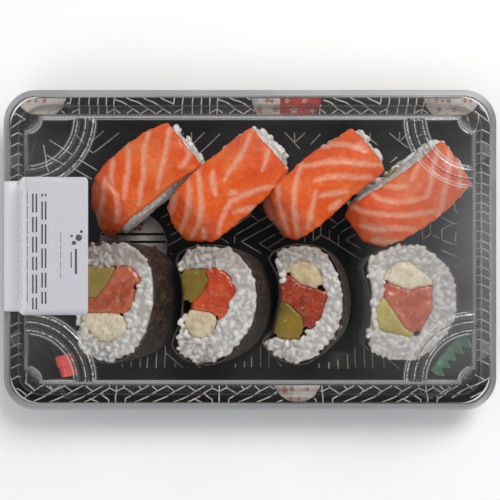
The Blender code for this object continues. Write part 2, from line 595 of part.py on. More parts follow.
def build_roll(index, spec, rng):
    centre, rise, lean, outline, fillings = spec
    lean = Vector(lean)

    def face_z(p):
        return CUT_FACE_Z + rise * p.x

    def column(p, top, low_lift=0.0):
        """Wall points under a point of the cut face: top, swelling middle and foot."""
        weight = max(0.0, min(1.0, (p.x + 12.0) / 28.0))
        weight = weight * weight * (3 - 2 * weight)
        middle = p + lean * (0.68 * weight)
        foot = p + lean * weight
        world = (centre[0] + foot.x, centre[1] + foot.y)
        base = rest_z(world[0], world[1]) + low_lift
        return [Vector((centre[0] + p.x, centre[1] + p.y, top)),
                Vector((centre[0] + middle.x, centre[1] + middle.y, 0.5 * top)),
                Vector((world[0], world[1], base))]

    rim = smooth_loop(outline, ROLL_SIDES)
    inner = inset_loop(rim, NORI_SHEET)
    outer_columns = [column(p, face_z(p) + 0.1) for p in rim]
    inner_columns = [column(p, face_z(p) + 0.1) for p in inner]
    loops = [[c[k] for c in outer_columns] for k in (2, 1, 0)] + [[c[k] for c in inner_columns] for k in (0, 1, 2)]
    bm = bmesh.new()
    rows = add_loft(bm, loops, cap_first=False, cap_last=False)
    for i in range(ROLL_SIDES):
        j = (i + 1) % ROLL_SIDES
        bm.faces.new((rows[-1][i], rows[0][i], rows[0][j], rows[-1][j]))
    add_object("roll_%d_nori" % index, bm, "nori")

    cores = []
    for kind, points in fillings.items():
        loop = [Vector(p) for p in points]
        area = sum(a.x * b.y - b.x * a.y for a, b in zip(loop, loop[1:] + loop[:1]))
        if area < 0:
            loop.reverse()
        cores.append(loop)
        loop = inset_loop(loop, 0.18)
        crest = inset_loop(loop, 0.6)
        bm = bmesh.new()

        def level(points, top):
            result = []
            for p in points:
                x, y = centre[0] + p.x, centre[1] + p.y
                result.append(Vector((x, y, top(p) if top else rest_z(x, y))))
            return result

        add_loft(bm, [level(loop, None), level(loop, lambda p: face_z(p) - 0.6), level(crest, lambda p: face_z(p))])
        kind_name = "raw" if kind == "salmon" else kind
        add_object("roll_%d_%s" % (index, kind), bm, kind_name)

    middle = Vector((-3.0, 0.5))
    wall = inset_loop(rim, NORI_SHEET + 0.38)
    steps = ROLL_SIDES
    spokes = []
    for i in range(steps):
        turn = 2 * math.pi * (i + 0.5) / steps - math.pi
        rays = [Vector((math.cos(turn + k * math.pi / steps / 3), math.sin(turn + k * math.pi / steps / 3)))
                for k in range(-6, 7)]
        far = min(reach_of(wall, middle, ray) for ray in rays[3:10])
        near = max(reach_of(core, middle, ray) for core in cores for ray in rays) + 0.4
        spokes.append((rays[6], near, far))
    keep = [far - near > 1.5 for _, near, far in spokes]
    closed = all(keep)
    runs = []
    for start in range(steps):
        if closed or (keep[start] and not keep[start - 1]):
            run = [start]
            while len(run) < steps and keep[(run[-1] + 1) % steps]:
                run.append((run[-1] + 1) % steps)
            runs.append(run)
    order = max(runs, key=len)
    def section(into, out):
        """Upright slice of the rice from the fillings to the seaweed."""
        foot_in = Vector((centre[0] + into.x, centre[1] + into.y, 0.0))
        foot_in.z = rest_z(foot_in.x, foot_in.y)
        wall_points = column(out, face_z(out) - 0.5)
        points = [foot_in, wall_points[2], wall_points[1], wall_points[0]]
        for part in (0.86, 0.62, 0.38, 0.14):
            p = into.lerp(out, part + rng.uniform(-0.06, 0.06))
            z = face_z(p) + rng.uniform(-0.35, 0.75)
            points.append(Vector((centre[0] + p.x, centre[1] + p.y, z)))
        points.append(Vector((centre[0] + into.x, centre[1] + into.y, face_z(into) - 0.5)))
        return points

    def horn(into, out, turn):
        """Places on the wall past an open end that a straight slice can reach clear of the fillings."""
        start = min(range(steps), key=lambda k: (wall[k] - out).length)
        if (wall[(start + turn) % steps] - wall[start]).dot(out - wall[start]) < 0.0:
            start -= turn
        places = []
        for ahead in (2, 3, 4):
            place = wall[(start + turn * ahead) % steps]
            line = [into.lerp(place, k / 12) for k in range(13)]
            clear = all(clearance(core, p) > 0.35 for core in cores for p in line)
            if not clear or max(clearance(wall, p) for p in line[:-1]) > 0.0:
                break
            places.append(place)
        return places

    sections = [section(middle + spokes[i][0] * spokes[i][1], middle + spokes[i][0] * spokes[i][2]) for i in order]
    if not closed:
        for i, turn in ((order[0], -1), (order[-1], 1)):
            into = middle + spokes[i][0] * spokes[i][1]
            out = middle + spokes[i][0] * spokes[i][2]
            for count, place in enumerate(horn(into, out, turn), start=1):
                extra = section(into.lerp(place, 0.12 * count), place.lerp(into, 0.02))
                if turn < 0:
                    sections.insert(0, extra)
                else:
                    sections.append(extra)
    bm = bmesh.new()
    rows = [[bm.verts.new(p) for p in points] for points in sections]
    width = len(rows[0])
    pairs = list(zip(rows, rows[1:]))
    if closed:
        pairs.append((rows[-1], rows[0]))
    for a, b in pairs:
        for k in range(width):
            m = (k + 1) % width
            bm.faces.new((a[k], a[m], b[m], b[k]))
    if not closed:
        bm.faces.new(rows[0])
        bm.faces.new(list(reversed(rows[-1])))
    add_object("roll_%d_rice" % index, bm, "rice")


def build_cap():
    """Small red screw cap lying on its side in the front left corner."""
    turn = math.radians(CAP_TILT)
    axis = Vector((math.sin(turn), -math.cos(turn), 0.0))
    side = Vector((-axis.y, axis.x, 0.0))
    profile = [(-5.5, 4.2), (-5.0, 4.7), (-0.4, 4.75), (0.2, 4.2), (4.9, 4.0), (5.5, 3.4)]
    z = 0.0
    for along, radius in profile:
        for step in range(-8, 9):
            across = radius * step / 8
            p = Vector((CAP_CENTRE[0], CAP_CENTRE[1], 0.0)) + axis * along + side * across
            z = max(z, tray_top(p.x, p.y) + GAP + math.sqrt(max(0.0, radius * radius - across * across)))
    loops = []
    for along, radius in profile:
        loop = []
        for step in range(16):
            a = 2 * math.pi * step / 16
            loop.append(Vector((CAP_CENTRE[0], CAP_CENTRE[1], z)) + axis * along
                        + side * (radius * math.cos(a)) + Vector((0.0, 0.0, radius * math.sin(a))))
        loops.append(loop)
    bm = bmesh.new()
    add_loft(bm, loops)
    add_object("sauce_cap", bm, "cap")


def build_leaf():
    """Green plastic grass strip leaning in the front right corner, saw-toothed on its outer edge."""
    a = Vector(LEAF_FOOT_A)
    b = Vector(LEAF_FOOT_B)
    run = (b - a).normalized()
    out = Vector((run.y, -run.x))
    steps = LEAF_TEETH * 4
    rows = []
    for i in range(steps + 1):
        t = i / steps
        tooth = 1.0 - abs((i % 4) - 2) / 2.0
        reach = 0.55 * LEAF_REACH + 0.45 * LEAF_REACH * tooth
        foot = a + (b - a) * t
        row = []
        for part in (0.0, 0.5, 1.0):
            p = foot + out * (reach * part)
            wave = 0.35 * math.sin(i * 1.7 + part * 2.0) + 0.35
            row.append(Vector((p.x, p.y, tray_top(p.x, p.y) + 0.75 + wave + 1.5 * (1.0 - part))))
        rows.append(row)
    bm = bmesh.new()
    low = [[bm.verts.new(p) for p in row] for row in rows]
    top = [[bm.verts.new(p + Vector((0.0, 0.0, LEAF_SHEET * 1.6))) for p in row] for row in rows]
    for i in range(steps):
        for k in range(2):
            for sheet, flip in ((low, False), (top, True)):
                quad = [sheet[i][k], sheet[i + 1][k], sheet[i + 1][k + 1], sheet[i][k + 1]]
                first, second = (quad[0], quad[1], quad[2]), (quad[0], quad[2], quad[3])
                for tri in (first, second):
                    bm.faces.new(tuple(reversed(tri)) if flip else tri)
        bm.faces.new((low[i][0], top[i][0], top[i + 1][0], low[i + 1][0]))
        bm.faces.new((low[i][2], low[i + 1][2], top[i + 1][2], top[i][2]))
    for i in (0, steps):
        for k in range(2):
            bm.faces.new((low[i][k], low[i][k + 1], top[i][k + 1], top[i][k]))
    add_object("grass_leaf", bm, "leaf")


build_tray()
build_lid()
build_label()
for number, nigiri in enumerate(NIGIRI, start=1):
    build_nigiri(number, nigiri, random.Random(40 + number))
for number, roll in enumerate(ROLLS, start=1):
    build_roll(number, roll, random.Random(60 + number))
build_cap()
build_leaf()
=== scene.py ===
"""Looks of a takeaway sushi tray: a printed black tray, its clear lid and label, four salmon nigiri and four
thick rolls. Sizes are in millimetres and become metres as each mesh is finished. +X is the long side, +Z up.
"""
import math
import random

import bmesh
import bpy
from mathutils import Matrix, Vector, noise
from mathutils.bvhtree import BVHTree


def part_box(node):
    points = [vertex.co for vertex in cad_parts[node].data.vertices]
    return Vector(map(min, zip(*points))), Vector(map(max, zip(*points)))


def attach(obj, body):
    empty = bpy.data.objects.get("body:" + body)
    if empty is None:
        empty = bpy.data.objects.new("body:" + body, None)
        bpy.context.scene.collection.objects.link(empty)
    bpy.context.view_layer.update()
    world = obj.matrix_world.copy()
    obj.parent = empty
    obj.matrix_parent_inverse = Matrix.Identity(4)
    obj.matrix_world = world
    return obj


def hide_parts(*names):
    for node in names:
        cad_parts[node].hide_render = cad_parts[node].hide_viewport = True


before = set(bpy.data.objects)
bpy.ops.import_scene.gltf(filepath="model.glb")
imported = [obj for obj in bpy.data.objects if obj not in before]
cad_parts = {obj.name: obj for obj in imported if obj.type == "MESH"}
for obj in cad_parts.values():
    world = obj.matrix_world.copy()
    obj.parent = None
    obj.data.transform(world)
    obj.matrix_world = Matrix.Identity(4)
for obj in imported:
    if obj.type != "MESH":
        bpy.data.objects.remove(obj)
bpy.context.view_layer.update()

# Studio. The pack lies on a pale matt board under one broad soft light and a weaker fill, in a pale room, and
# the camera looks straight down at it. The room is dark right above the pack, where the camera hangs.
MM = 0.001
CAMERA_HEIGHT = 0.502
CAMERA_LENS = 71.57
BOARD_DROP = 0.7
BOARD_HALF = 2500.0
ROOM_LIGHT = 0.55


def colour(code):
    """Linear colour of an sRGB hex value."""
    parts = [int(code[i:i + 2], 16) / 255 for i in (0, 2, 4)]
    return tuple(p / 12.92 if p <= 0.04045 else ((p + 0.055) / 1.055) ** 2.4 for p in parts) + (1.0,)


def add_node(tree, kind, inputs=None, stops=None, **settings):
    """A node with its settings; inputs hold a value or a socket to link from, stops are a ramp's colours."""
    node = tree.nodes.new(kind)
    for name, value in settings.items():
        setattr(node, name, value)
    for key, value in (inputs or {}).items():
        if isinstance(value, bpy.types.NodeSocket):
            tree.links.new(value, node.inputs[key])
        else:
            node.inputs[key].default_value = value
    for k, (place, shade) in enumerate(stops or ()):
        ramp = node.color_ramp.elements
        stop = ramp[k] if k < 2 else ramp.new(place)
        stop.position = place
        stop.color = colour(shade)
    return node


def new_material(name, sockets):
    """Material with one Principled shader, its constant values set on the shader's own sockets."""
    made = bpy.data.materials.new(name)
    made.use_nodes = True
    shader = made.node_tree.nodes["Principled BSDF"]
    for key, value in sockets.items():
        shader.inputs[key].default_value = value
    return made, made.node_tree, shader


def finish_piece(name, bm, materials, slot=None, nodes=(), smooth=True):
    """Turns a bmesh in millimetres into a piece of the pack."""
    bmesh.ops.scale(bm, vec=(MM, MM, MM), verts=bm.verts)
    mesh = bpy.data.meshes.new(name)
    bm.to_mesh(mesh)
    bm.free()
    for made in materials:
        mesh.materials.append(made)
    mesh.polygons.foreach_set("use_smooth", [smooth] * len(mesh.polygons))
    piece = bpy.data.objects.new(name, mesh)
    bpy.context.collection.objects.link(piece)
    if slot:
        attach(piece, "root")
    if nodes:
        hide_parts(*nodes)
    return piece


camera_data = bpy.data.cameras.new("camera")
camera_data.lens = CAMERA_LENS
camera_data.sensor_width = 36.0
camera_data.clip_start = 0.01
camera = bpy.data.objects.new("camera", camera_data)
camera.location = (0.0, 0.0, CAMERA_HEIGHT)
bpy.context.collection.objects.link(camera)
bpy.context.scene.camera = camera

# Matt board: even and nearly white, with no shine.
board_paper, tree, shader = new_material("pale_board", {"Roughness": 0.9})
place = add_node(tree, "ShaderNodeTexCoord").outputs["Object"]
mottle = add_node(tree, "ShaderNodeTexNoise", {"Vector": place, "Scale": 9.0, "Detail": 3.0})
tone = add_node(tree, "ShaderNodeValToRGB", {"Fac": mottle.outputs["Fac"]},
                stops=[(0.3, "fcfcfd"), (0.7, "ffffff")])
tree.links.new(tone.outputs["Color"], shader.inputs["Base Color"])
bm = bmesh.new()
bmesh.ops.create_grid(bm, x_segments=2, y_segments=2, size=BOARD_HALF)
bmesh.ops.translate(bm, vec=(0.0, 0.0, -BOARD_DROP), verts=bm.verts)
board = finish_piece("board", bm, [board_paper])

for name, place, aim, size, watts, tint in (
        ("soft_light", (0.5, 0.8, 1.05), (0.0, 0.0, 0.0), 0.6, 13.0, "fffefb"),
        ("fill_light", (-0.6, -0.9, 0.9), (0.0, 0.0, 0.0), 0.8, 3.2, "fbfcff")):
    light_data = bpy.data.lights.new(name, "AREA")
    light_data.size = size
    light_data.energy = watts
    light_data.color = colour(tint)[:3]
    light = bpy.data.objects.new(name, light_data)
    light.location = place
    light.rotation_euler = (Vector(aim) - Vector(place)).to_track_quat("-Z", "Y").to_euler()
    bpy.context.collection.objects.link(light)

world = bpy.data.worlds.new("pale_room")
world.use_nodes = True
tree = world.node_tree
up = add_node(tree, "ShaderNodeTexCoord").outputs["Generated"]
height = add_node(tree, "ShaderNodeSeparateXYZ", {"Vector": up}).outputs["Z"]
sky = add_node(tree, "ShaderNodeValToRGB", {"Fac": height},
               stops=[(0.0, "f4f4f5"), (0.93, "f4f4f5"), (0.992, "262627")])
tree.links.new(sky.outputs["Color"], tree.nodes["Background"].inputs["Color"])
tree.nodes["Background"].inputs["Strength"].default_value = ROOM_LIGHT
bpy.context.scene.world = world
bpy.context.scene.view_settings.view_transform = "Standard"
bpy.context.scene.cycles.transparent_max_bounces = 32

# Tray. One vacuum-formed sheet of black polypropylene, 0.6 mm thick: a flat floor, sloping walls, a step, a
# raised rim for the lid and a short skirt, with every bend rounded by the forming.
HALF_X = 120.0
HALF_Y = 78.0
TRAY_SHEET = 0.6
TRAY_PROFILE = [(4.0, 17.5), (4.0, 21.4), (4.6, 22.0), (7.4, 22.0), (8.0, 21.4), (8.4, 18.7), (9.0, 18.2),
                (11.0, 18.0), (11.8, 17.3), (18.0, 5.8), (19.6, 4.4), (25.5, 1.1), (27.5, 0.6)]
TRAY_CORNER_STEPS = 16


def rounded_profile(points, share=0.35, steps=3):
    """Profile with each bend turned into a short arc; gives each point and how far round the bend it is."""
    result = [(Vector(points[0]), 0.0)]
    for before, bend, after in zip(points, points[1:], points[2:]):
        before, bend, after = Vector(before), Vector(bend), Vector(after)
        start = bend.lerp(before, share)
        end = bend.lerp(after, share)
        for k in range(steps + 1):
            t = k / steps
            result.append((start.lerp(bend, t).lerp(bend.lerp(end, t), t), math.sin(math.pi * t)))
    result.append((Vector(points[-1]), 0.0))
    return result


def tray_ring(inset, z):
    """Rounded rectangle at an inset from the pack's outline: tight at the lip, wide at the floor."""
    radius = 16.0 - 0.25 * inset if inset < 8.0 else 14.0 + min(inset - 8.0, 18.0) / 3.0
    points = []
    for quarter in range(4):
        cx = (1 if quarter in (0, 3) else -1) * (HALF_X - inset - radius)
        cy = (1 if quarter in (0, 1) else -1) * (HALF_Y - inset - radius)
        for step in range(TRAY_CORNER_STEPS + 1):
            turn = math.radians(90.0 * (quarter + step / TRAY_CORNER_STEPS))
            points.append(Vector((cx + radius * math.cos(turn), cy + radius * math.sin(turn), z)))
    return points


def draw_out(bm, rings):
    """Draws a ring of edges through each ring of points in turn and gives the rings of verts."""
    ring = bmesh.ops.create_circle(bm, radius=1.0, segments=len(rings[0]))["verts"]
    for vert, point in zip(ring, rings[0]):
        vert.co = point
    rows = [ring]
    for points in rings[1:]:
        order = {vert: k for k, vert in enumerate(rows[-1])}
        edges = [e for e in bm.edges if e.verts[0] in order and e.verts[1] in order]
        made = bmesh.ops.extrude_edge_only(bm, edges=edges)["geom"]
        grown = {}
        for vert in made:
            if isinstance(vert, bmesh.types.BMVert):
                source = next(e.other_vert(vert) for e in vert.link_edges if e.other_vert(vert) in order)
                grown[order[source]] = vert
        for k, point in enumerate(points):
            grown[k].co = point
        rows.append([grown[k] for k in range(len(points))])
    return rows


# Black polypropylene, vacuum formed: cloudy in tone and gloss, with the fine grain of the mould.
tray_plastic, tree, shader = new_material("black_polypropylene", {
    "Roughness": 0.36, "IOR": 1.49, "Specular IOR Level": 0.13})
place = add_node(tree, "ShaderNodeTexCoord").outputs["Object"]
cloud = add_node(tree, "ShaderNodeTexNoise", {"Vector": place, "Scale": 28.0, "Detail": 4.0})
tone = add_node(tree, "ShaderNodeValToRGB", {"Fac": cloud.outputs["Fac"]},
                stops=[(0.3, "131314"), (0.7, "1e1e20")])
grain = add_node(tree, "ShaderNodeTexNoise", {"Vector": place, "Scale": 1200.0, "Detail": 2.0})
shine = add_node(tree, "ShaderNodeMapRange", {"Value": cloud.outputs["Fac"], "To Min": 0.28, "To Max": 0.46})
bump = add_node(tree, "ShaderNodeBump", {"Height": grain.outputs["Fac"], "Strength": 0.12,
                                         "Distance": 0.0002})
tree.links.new(tone.outputs["Color"], shader.inputs["Base Color"])
tree.links.new(shine.outputs["Result"], shader.inputs["Roughness"])
tree.links.new(bump.outputs["Normal"], shader.inputs["Normal"])

bm = bmesh.new()
rows = draw_out(bm, [tray_ring(p.x, p.y) for p, _ in rounded_profile(TRAY_PROFILE)])
floor = bmesh.ops.contextual_create(bm, geom=rows[-1])["faces"]
bmesh.ops.inset_individual(bm, faces=floor, thickness=0.4)
bmesh.ops.recalc_face_normals(bm, faces=bm.faces)
if max(bm.faces, key=lambda f: f.calc_area()).normal.z < 0.0:
    bmesh.ops.reverse_faces(bm, faces=bm.faces)
tray_surface = BVHTree.FromBMesh(bm)
tray = finish_piece("tray_sheet", bm, [tray_plastic], "tray", ["tray"])
sheet = tray.modifiers.new("sheet", "SOLIDIFY")
sheet.thickness = TRAY_SHEET * MM
sheet.offset = -1.0

# Print. A traditional pattern of hexagons and nested chevrons in thin cream ink on the black sheet, and a few
# cream discs that carry red blossom. It is printed on floor and rim; the steep walls between them stay bare.
INK_LIFT = 0.06
INK_SHEET = 0.03
LINE_WIDTH = 0.55
# What hangs over the rim's lip is lower than this and nearer to the outline than this.
LIP_Z = 21.0
LIP_WIDTH = 5.0
# Bends of the tray's profile, as insets, where a stroke needs a point of its own.
BENDS = sorted({round(p.x, 2) for p, _ in rounded_profile(TRAY_PROFILE)})
FLOOR_STROKES = [
    [(-99.7, 54.6), (-88.3, 47.2)], [(-102.4, 52.1), (-101.4, 41.0), (-100.6, 39.0)],
    [(-101.4, 47.3), (-99.2, 46.0), (-94.3, 43.3)], [(-87.4, 58.2), (-83.4, 53.5)],
    [(-81.7, 50.6), (-79.2, 48.9), (-65.6, 58.6)], [(-80.0, 54.3), (-72.9, 59.6)],
    [(-86.3, 45.7), (-77.2, 40.1)], [(-89.8, 41.6), (-79.7, 35.6)],
    [(-35.6, 58.6), (-25.5, 48.7), (-15.0, 58.1)], [(-29.3, 59.0), (-29.4, 52.9)],
    [(-29.2, 52.9), (-22.8, 58.8)], [(-33.5, 58.8), (-33.6, 57.4)], [(17.3, 59.0), (25.2, 50.9)],
    [(22.3, 58.8), (22.4, 53.8)], [(22.5, 54.1), (27.5, 58.6)], [(30.5, 53.1), (35.3, 58.1)],
    [(17.2, 49.4), (19.7, 47.4)], [(69.6, 58.6), (79.7, 51.4)], [(74.8, 59.0), (75.1, 54.9)],
    [(75.3, 54.9), (79.6, 58.6)], [(60.0, 58.8), (60.3, 55.7), (64.5, 52.7)], [(70.6, 43.9), (74.2, 46.9)],
    [(84.0, 56.7), (86.1, 58.1)], [(101.9, 23.8), (102.1, 19.5), (103.1, 18.5)],
    [(96.1, 16.6), (101.7, 13.2), (103.0, 13.2)], [(101.4, 13.2), (96.4, 10.3), (96.4, 5.1), (103.2, 2.1)],
    [(102.5, 8.6), (102.1, 2.9)], [(96.1, -0.1), (103.1, -3.4)], [(101.7, -8.1), (103.1, -9.0)],
    [(86.7, 10.6), (87.1, 5.4), (91.0, 7.9), (91.0, 13.4)], [(92.3, 7.5), (95.4, 5.7)],
    [(-47.0, 14.9), (-41.4, 18.1)], [(-44.1, 11.1), (-39.8, 13.5)], [(-41.9, 6.4), (-36.3, 9.4)],
    [(-41.3, 2.3), (-33.3, 6.8)], [(-42.6, -0.5), (-38.8, -2.4)], [(-18.2, 8.1), (-10.8, 3.4)],
    [(-13.1, 8.4), (1.0, 18.2)], [(-1.0, 18.7), (4.4, 14.6)], [(10.1, 17.7), (-7.6, 7.4), (-7.9, 3.3)],
    [(13.1, 14.0), (-4.4, 4.2), (5.7, -1.8)], [(12.9, 8.0), (4.7, 3.3), (10.7, -0.5)],
    [(20.2, 7.8), (9.1, 1.1)], [(14.6, 8.6), (17.7, 10.3)], [(38.8, 17.2), (44.3, 13.1)],
    [(49.4, 16.9), (41.2, 10.8)], [(54.0, 13.5), (45.7, 8.8)], [(35.7, 13.6), (35.7, 7.5)],
    [(31.9, 10.6), (31.9, 4.5)], [(27.6, 6.6), (27.6, 3.8)], [(40.1, 9.9), (40.1, 5.2)],
    [(44.7, 7.9), (44.7, 2.5)], [(31.9, 4.5), (35.7, 7.5), (40.1, 5.2), (56.5, -5.3)],
    [(53.5, 8.1), (48.4, 5.0), (56.5, 0.4)], [(-42.6, -51.7), (-33.5, -58.9)],
    [(-27.1, -56.9), (-24.5, -59.2)], [(-78.8, -56.7), (-76.5, -59.1)], [(13.3, -55.3), (15.8, -58.3)],
    [(69.4, -54.8), (74.7, -59.3)]]
# Short upright strokes along the floor's front edge: X, and Y of the two ends.
FLOOR_FEET = [
    (-64.0, -56.4, -58.6), (-59.6, -55.3, -58.6), (-55.1, -54.3, -58.6), (-51.5, -53.4, -59.1),
    (-47.0, -51.4, -59.1), (-42.7, -47.9, -58.7), (-37.4, -55.5, -58.6), (-7.3, -57.1, -58.6),
    (-2.8, -56.0, -58.6), (0.8, -53.6, -58.6), (5.3, -47.9, -58.6), (9.6, -51.9, -58.6),
    (34.6, -56.9, -59.0), (39.5, -56.4, -59.2), (44.1, -55.0, -59.3), (49.0, -52.4, -59.3),
    (52.8, -49.4, -58.8), (57.5, -49.4, -58.6), (61.5, -52.4, -59.2), (67.1, -54.3, -58.8)]
# Motifs of the back and front rim, from the place where each one starts.
BACK_STARTS = (-82.6, -32.6, 17.4, 67.2)
BACK_MOTIF = [
    [(-3.8, 73.6), (-4.3, 70.4), (-5.7, 71.1)], [(0.3, 73.6), (-0.7, 66.2)], [(-4.2, 66.9), (-0.6, 68.7)],
    [(5.0, 73.6), (4.4, 66.2)], [(9.3, 73.6), (8.7, 66.2)], [(13.3, 73.6), (12.9, 66.2)],
    [(17.1, 73.6), (16.4, 66.2)], [(13.5, 66.9), (16.6, 68.6), (19.4, 66.7)],
    [(17.1, 72.7), (20.8, 71.5), (25.6, 68.7), (29.2, 66.3)], [(25.6, 68.7), (22.4, 66.4)],
    [(22.6, 73.6), (24.9, 72.5), (28.4, 71.4), (33.2, 68.7), (36.7, 66.3)], [(33.2, 68.7), (29.3, 66.3)],
    [(31.0, 73.6), (32.9, 72.5), (35.9, 71.4), (40.5, 68.7), (44.1, 66.3)], [(40.5, 68.7), (36.9, 66.3)],
    [(39.3, 73.6), (41.2, 72.5), (44.8, 71.0)]]
FRONT_STARTS = (-64.9, -14.9, 35.2, 85.8)
FRONT_MOTIF = [
    [(-0.1, -66.1), (-0.0, -73.6)],
    [(-3.6, -65.8), (-3.5, -67.3), (-0.1, -68.8), (3.5, -67.0), (3.5, -65.8)],
    [(-3.5, -67.3), (-11.1, -71.6), (-15.4, -73.6)], [(-7.1, -69.7), (-3.3, -72.3), (-3.4, -73.6)],
    [(-22.4, -73.6), (-16.4, -71.3), (-7.0, -66.3)], [(-32.3, -73.6), (-26.1, -71.1), (-16.4, -66.1)],
    [(-41.0, -73.6), (-35.1, -71.1), (-25.3, -66.1)],
    [(3.5, -67.0), (8.4, -69.9), (4.8, -71.7), (4.5, -73.6)], [(8.4, -69.9), (15.5, -66.1)],
    [(-15.3, -66.3), (-11.8, -68.6)], [(-25.3, -66.3), (-22.0, -68.6)], [(-32.8, -66.3), (-30.1, -68.6)],
    [(10.6, -66.3), (12.2, -68.0)], [(-12.6, -71.7), (-8.2, -73.6)]]
# Motifs of the left and right rim, repeated at these places along Y.
LEFT_PLACES = (54.2, 49.2, 44.2, 39.1, 34.0, -37.5, -42.6, -47.7, -52.7, -57.9, -63.4)
LEFT_MOTIF = [(-115.6, 0.6), (-111.8, 2.6), (-110.9, 1.7)]
RIGHT_PLACES = (
    58.2, 52.6, 47.1, 42.3, 37.7, 32.6, 27.6, 23.0, 18.9, 14.5, 9.2, 4.6, 1.0, -2.9, -8.0, -12.2, -16.6,
    -23.1, -28.4, -33.6, -38.4, -43.4, -48.5, -53.5)
RIGHT_MOTIF = [(110.3, -0.3), (111.9, 0.0), (115.6, -1.9)]
CORNER_STROKES = [
    [(-110.9, 70.6), (-104.3, 66.5), (-102.8, 65.3)], [(-115.1, 67.1), (-109.0, 63.5), (-115.7, 58.6)],
    [(-115.5, 63.8), (-113.2, 65.7)], [(-101.1, 66.5), (-100.2, 69.3), (-96.1, 66.3)],
    [(-94.9, 70.3), (-90.2, 66.5)], [(-98.8, 67.9), (-97.5, 66.5)],
    [(-115.9, -68.5), (-112.2, -66.8), (-108.0, -70.0)],
    [(-108.8, -59.1), (-108.8, -64.4), (-104.8, -67.8)],
    [(-109.2, -71.5), (-103.2, -67.2), (-100.2, -65.5)], [(-100.5, -71.2), (-92.3, -66.3)],
    [(-99.2, -66.1), (-95.8, -68.6)], [(110.8, 69.2), (113.8, 66.3)], [(108.5, 67.1), (115.1, 62.0)],
    [(110.4, 65.5), (110.4, 59.5), (108.9, 57.5)], [(105.6, 65.9), (106.3, 62.5)],
    [(97.4, -71.3), (115.9, -61.6)], [(106.5, -71.3), (115.4, -67.0)], [(109.3, -60.5), (113.2, -62.7)],
    [(105.4, -65.4), (107.4, -67.0)], [(89.9, -71.0), (98.0, -66.8)], [(92.6, -66.3), (94.6, -68.4)]]
# Disc: centre, radius, lowest and highest Y that shows.
DISCS = [
    ((17.6, 76.0), 17.2, 66.0, 73.3), ((-101.0, 78.0), 13.2, 66.0, 73.3), ((97.6, 78.0), 14.6, 65.8, 73.3),
    ((23.0, -61.0), 12.4, -73.3, -66.0), ((-59.0, 2.0), 17.4, -40.0, 60.0)]
RED_FROM_X = 14.6
# Black bands across the disc on the floor: Y of each and half its width.
BAND_PLACES = (4.1, 8.0)
BAND_HALF = 0.6
# Blossoms in mm: place, size and turn, first the red ones on cream and then the cream ones on red.
RED_BLOSSOMS = [
    (4.6, 68.2, 1.5, 0.3), (8.4, 72.2, 1.3, 1.0), (12.4, 68.4, 1.6, 0.5), (10.6, 71.9, 1.1, 0.1),
    (-107.0, 72.2, 1.2, 0.2), (-103.4, 72.0, 0.9, 0.9), (-99.2, 72.1, 1.2, 0.4), (90.0, 72.2, 1.3, 0.3),
    (93.0, 72.0, 1.0, 0.8), (96.0, 71.9, 1.1, 0.0), (103.8, 72.1, 1.2, 0.6), (106.6, 71.9, 0.9, 0.2),
    (92.0, 68.3, 1.1, 0.7), (99.6, 68.2, 1.3, 0.1), (17.0, -68.2, 1.7, 0.4), (20.4, -67.6, 1.3, 0.9),
    (19.6, -71.9, 1.0, 0.2), (23.6, -72.0, 0.9, 0.8), (28.0, -67.9, 1.0, 0.3), (-56.6, 12.6, 3.4, 0.2),
    (-63.4, 11.8, 2.4, 0.8), (-60.6, 0.4, 2.8, 0.5), (-48.6, -2.0, 4.6, 0.1), (-45.6, -8.2, 2.6, 0.6),
    (-68.0, 5.0, 2.6, 0.9), (-54.6, -6.0, 2.4, 0.4)]
PALE_BLOSSOMS = [
    (17.8, 72.0, 1.3, 0.2), (21.4, 68.1, 1.8, 0.5), (26.4, 71.9, 1.3, 0.8), (30.2, 68.0, 1.3, 0.1)]


UP = Vector((0.0, 0.0, 1.0))
DOWN = Vector((0.0, 0.0, -1.0))


def drape(bm, verts, lift=INK_LIFT):
    """Lays verts on the tray from above and leaves out what would hang over its edge."""
    over = []
    for vert in verts:
        spot, normal, _, _ = tray_surface.ray_cast(vert.co.xy.to_3d() + Vector((0.0, 0.0, 90.0)), DOWN)
        if spot is None or (spot.z < LIP_Z and max(abs(spot.x) - HALF_X, abs(spot.y) - HALF_Y) > -LIP_WIDTH):
            over.append(vert)
        else:
            vert.co = spot + normal * lift
    bmesh.ops.delete(bm, geom=over, context="VERTS")


def off_disc(point):
    """Whether a point lies clear of every disc."""
    return all((point - Vector(centre)).length > radius + 0.3 or not low - 0.3 < point.y < high + 0.3
               for centre, radius, low, high in DISCS)


def add_stroke(bm, start, end, width=LINE_WIDTH, lift=INK_LIFT):
    """Straight stroke of ink on the tray, with points where it crosses a bend; discs cover it."""
    start, end = Vector(start), Vector(end)
    edge = end - start
    count = max(1, round(edge.length / 2.0))
    places = {k / count for k in range(count + 1)}
    for axis, half in ((0, HALF_X), (1, HALF_Y)):
        if abs(edge[axis]) > 0.4:
            places |= {(side * (half - bend) - start[axis]) / edge[axis]
                       for bend in BENDS for side in (1, -1)}
    run = []
    for place in sorted(p for p in places if 0.0 <= p <= 1.0) + [None]:
        if place is not None and off_disc(start.lerp(end, place)):
            run.append(place)
            continue
        if len(run) > 1:
            turn = Matrix.Rotation(math.atan2(edge.y, edge.x), 4, "Z")
            made = bmesh.ops.create_grid(bm, x_segments=len(run) - 1, y_segments=1, size=0.5)["verts"]
            for vert in made:
                share = run[min(len(run) - 1, round((vert.co.x + 0.5) * (len(run) - 1)))]
                side = turn @ Vector((0.0, vert.co.y * width, 0.0))
                vert.co = start.lerp(end, share).to_3d() + side
            drape(bm, made, lift)
        run = []


def add_strokes(bm, lines, x=0.0, y=0.0):
    """Strokes along each line of points, moved by x and y."""
    for line in lines:
        for a, b in zip(line, line[1:]):
            add_stroke(bm, (a[0] + x, a[1] + y), (b[0] + x, b[1] + y))


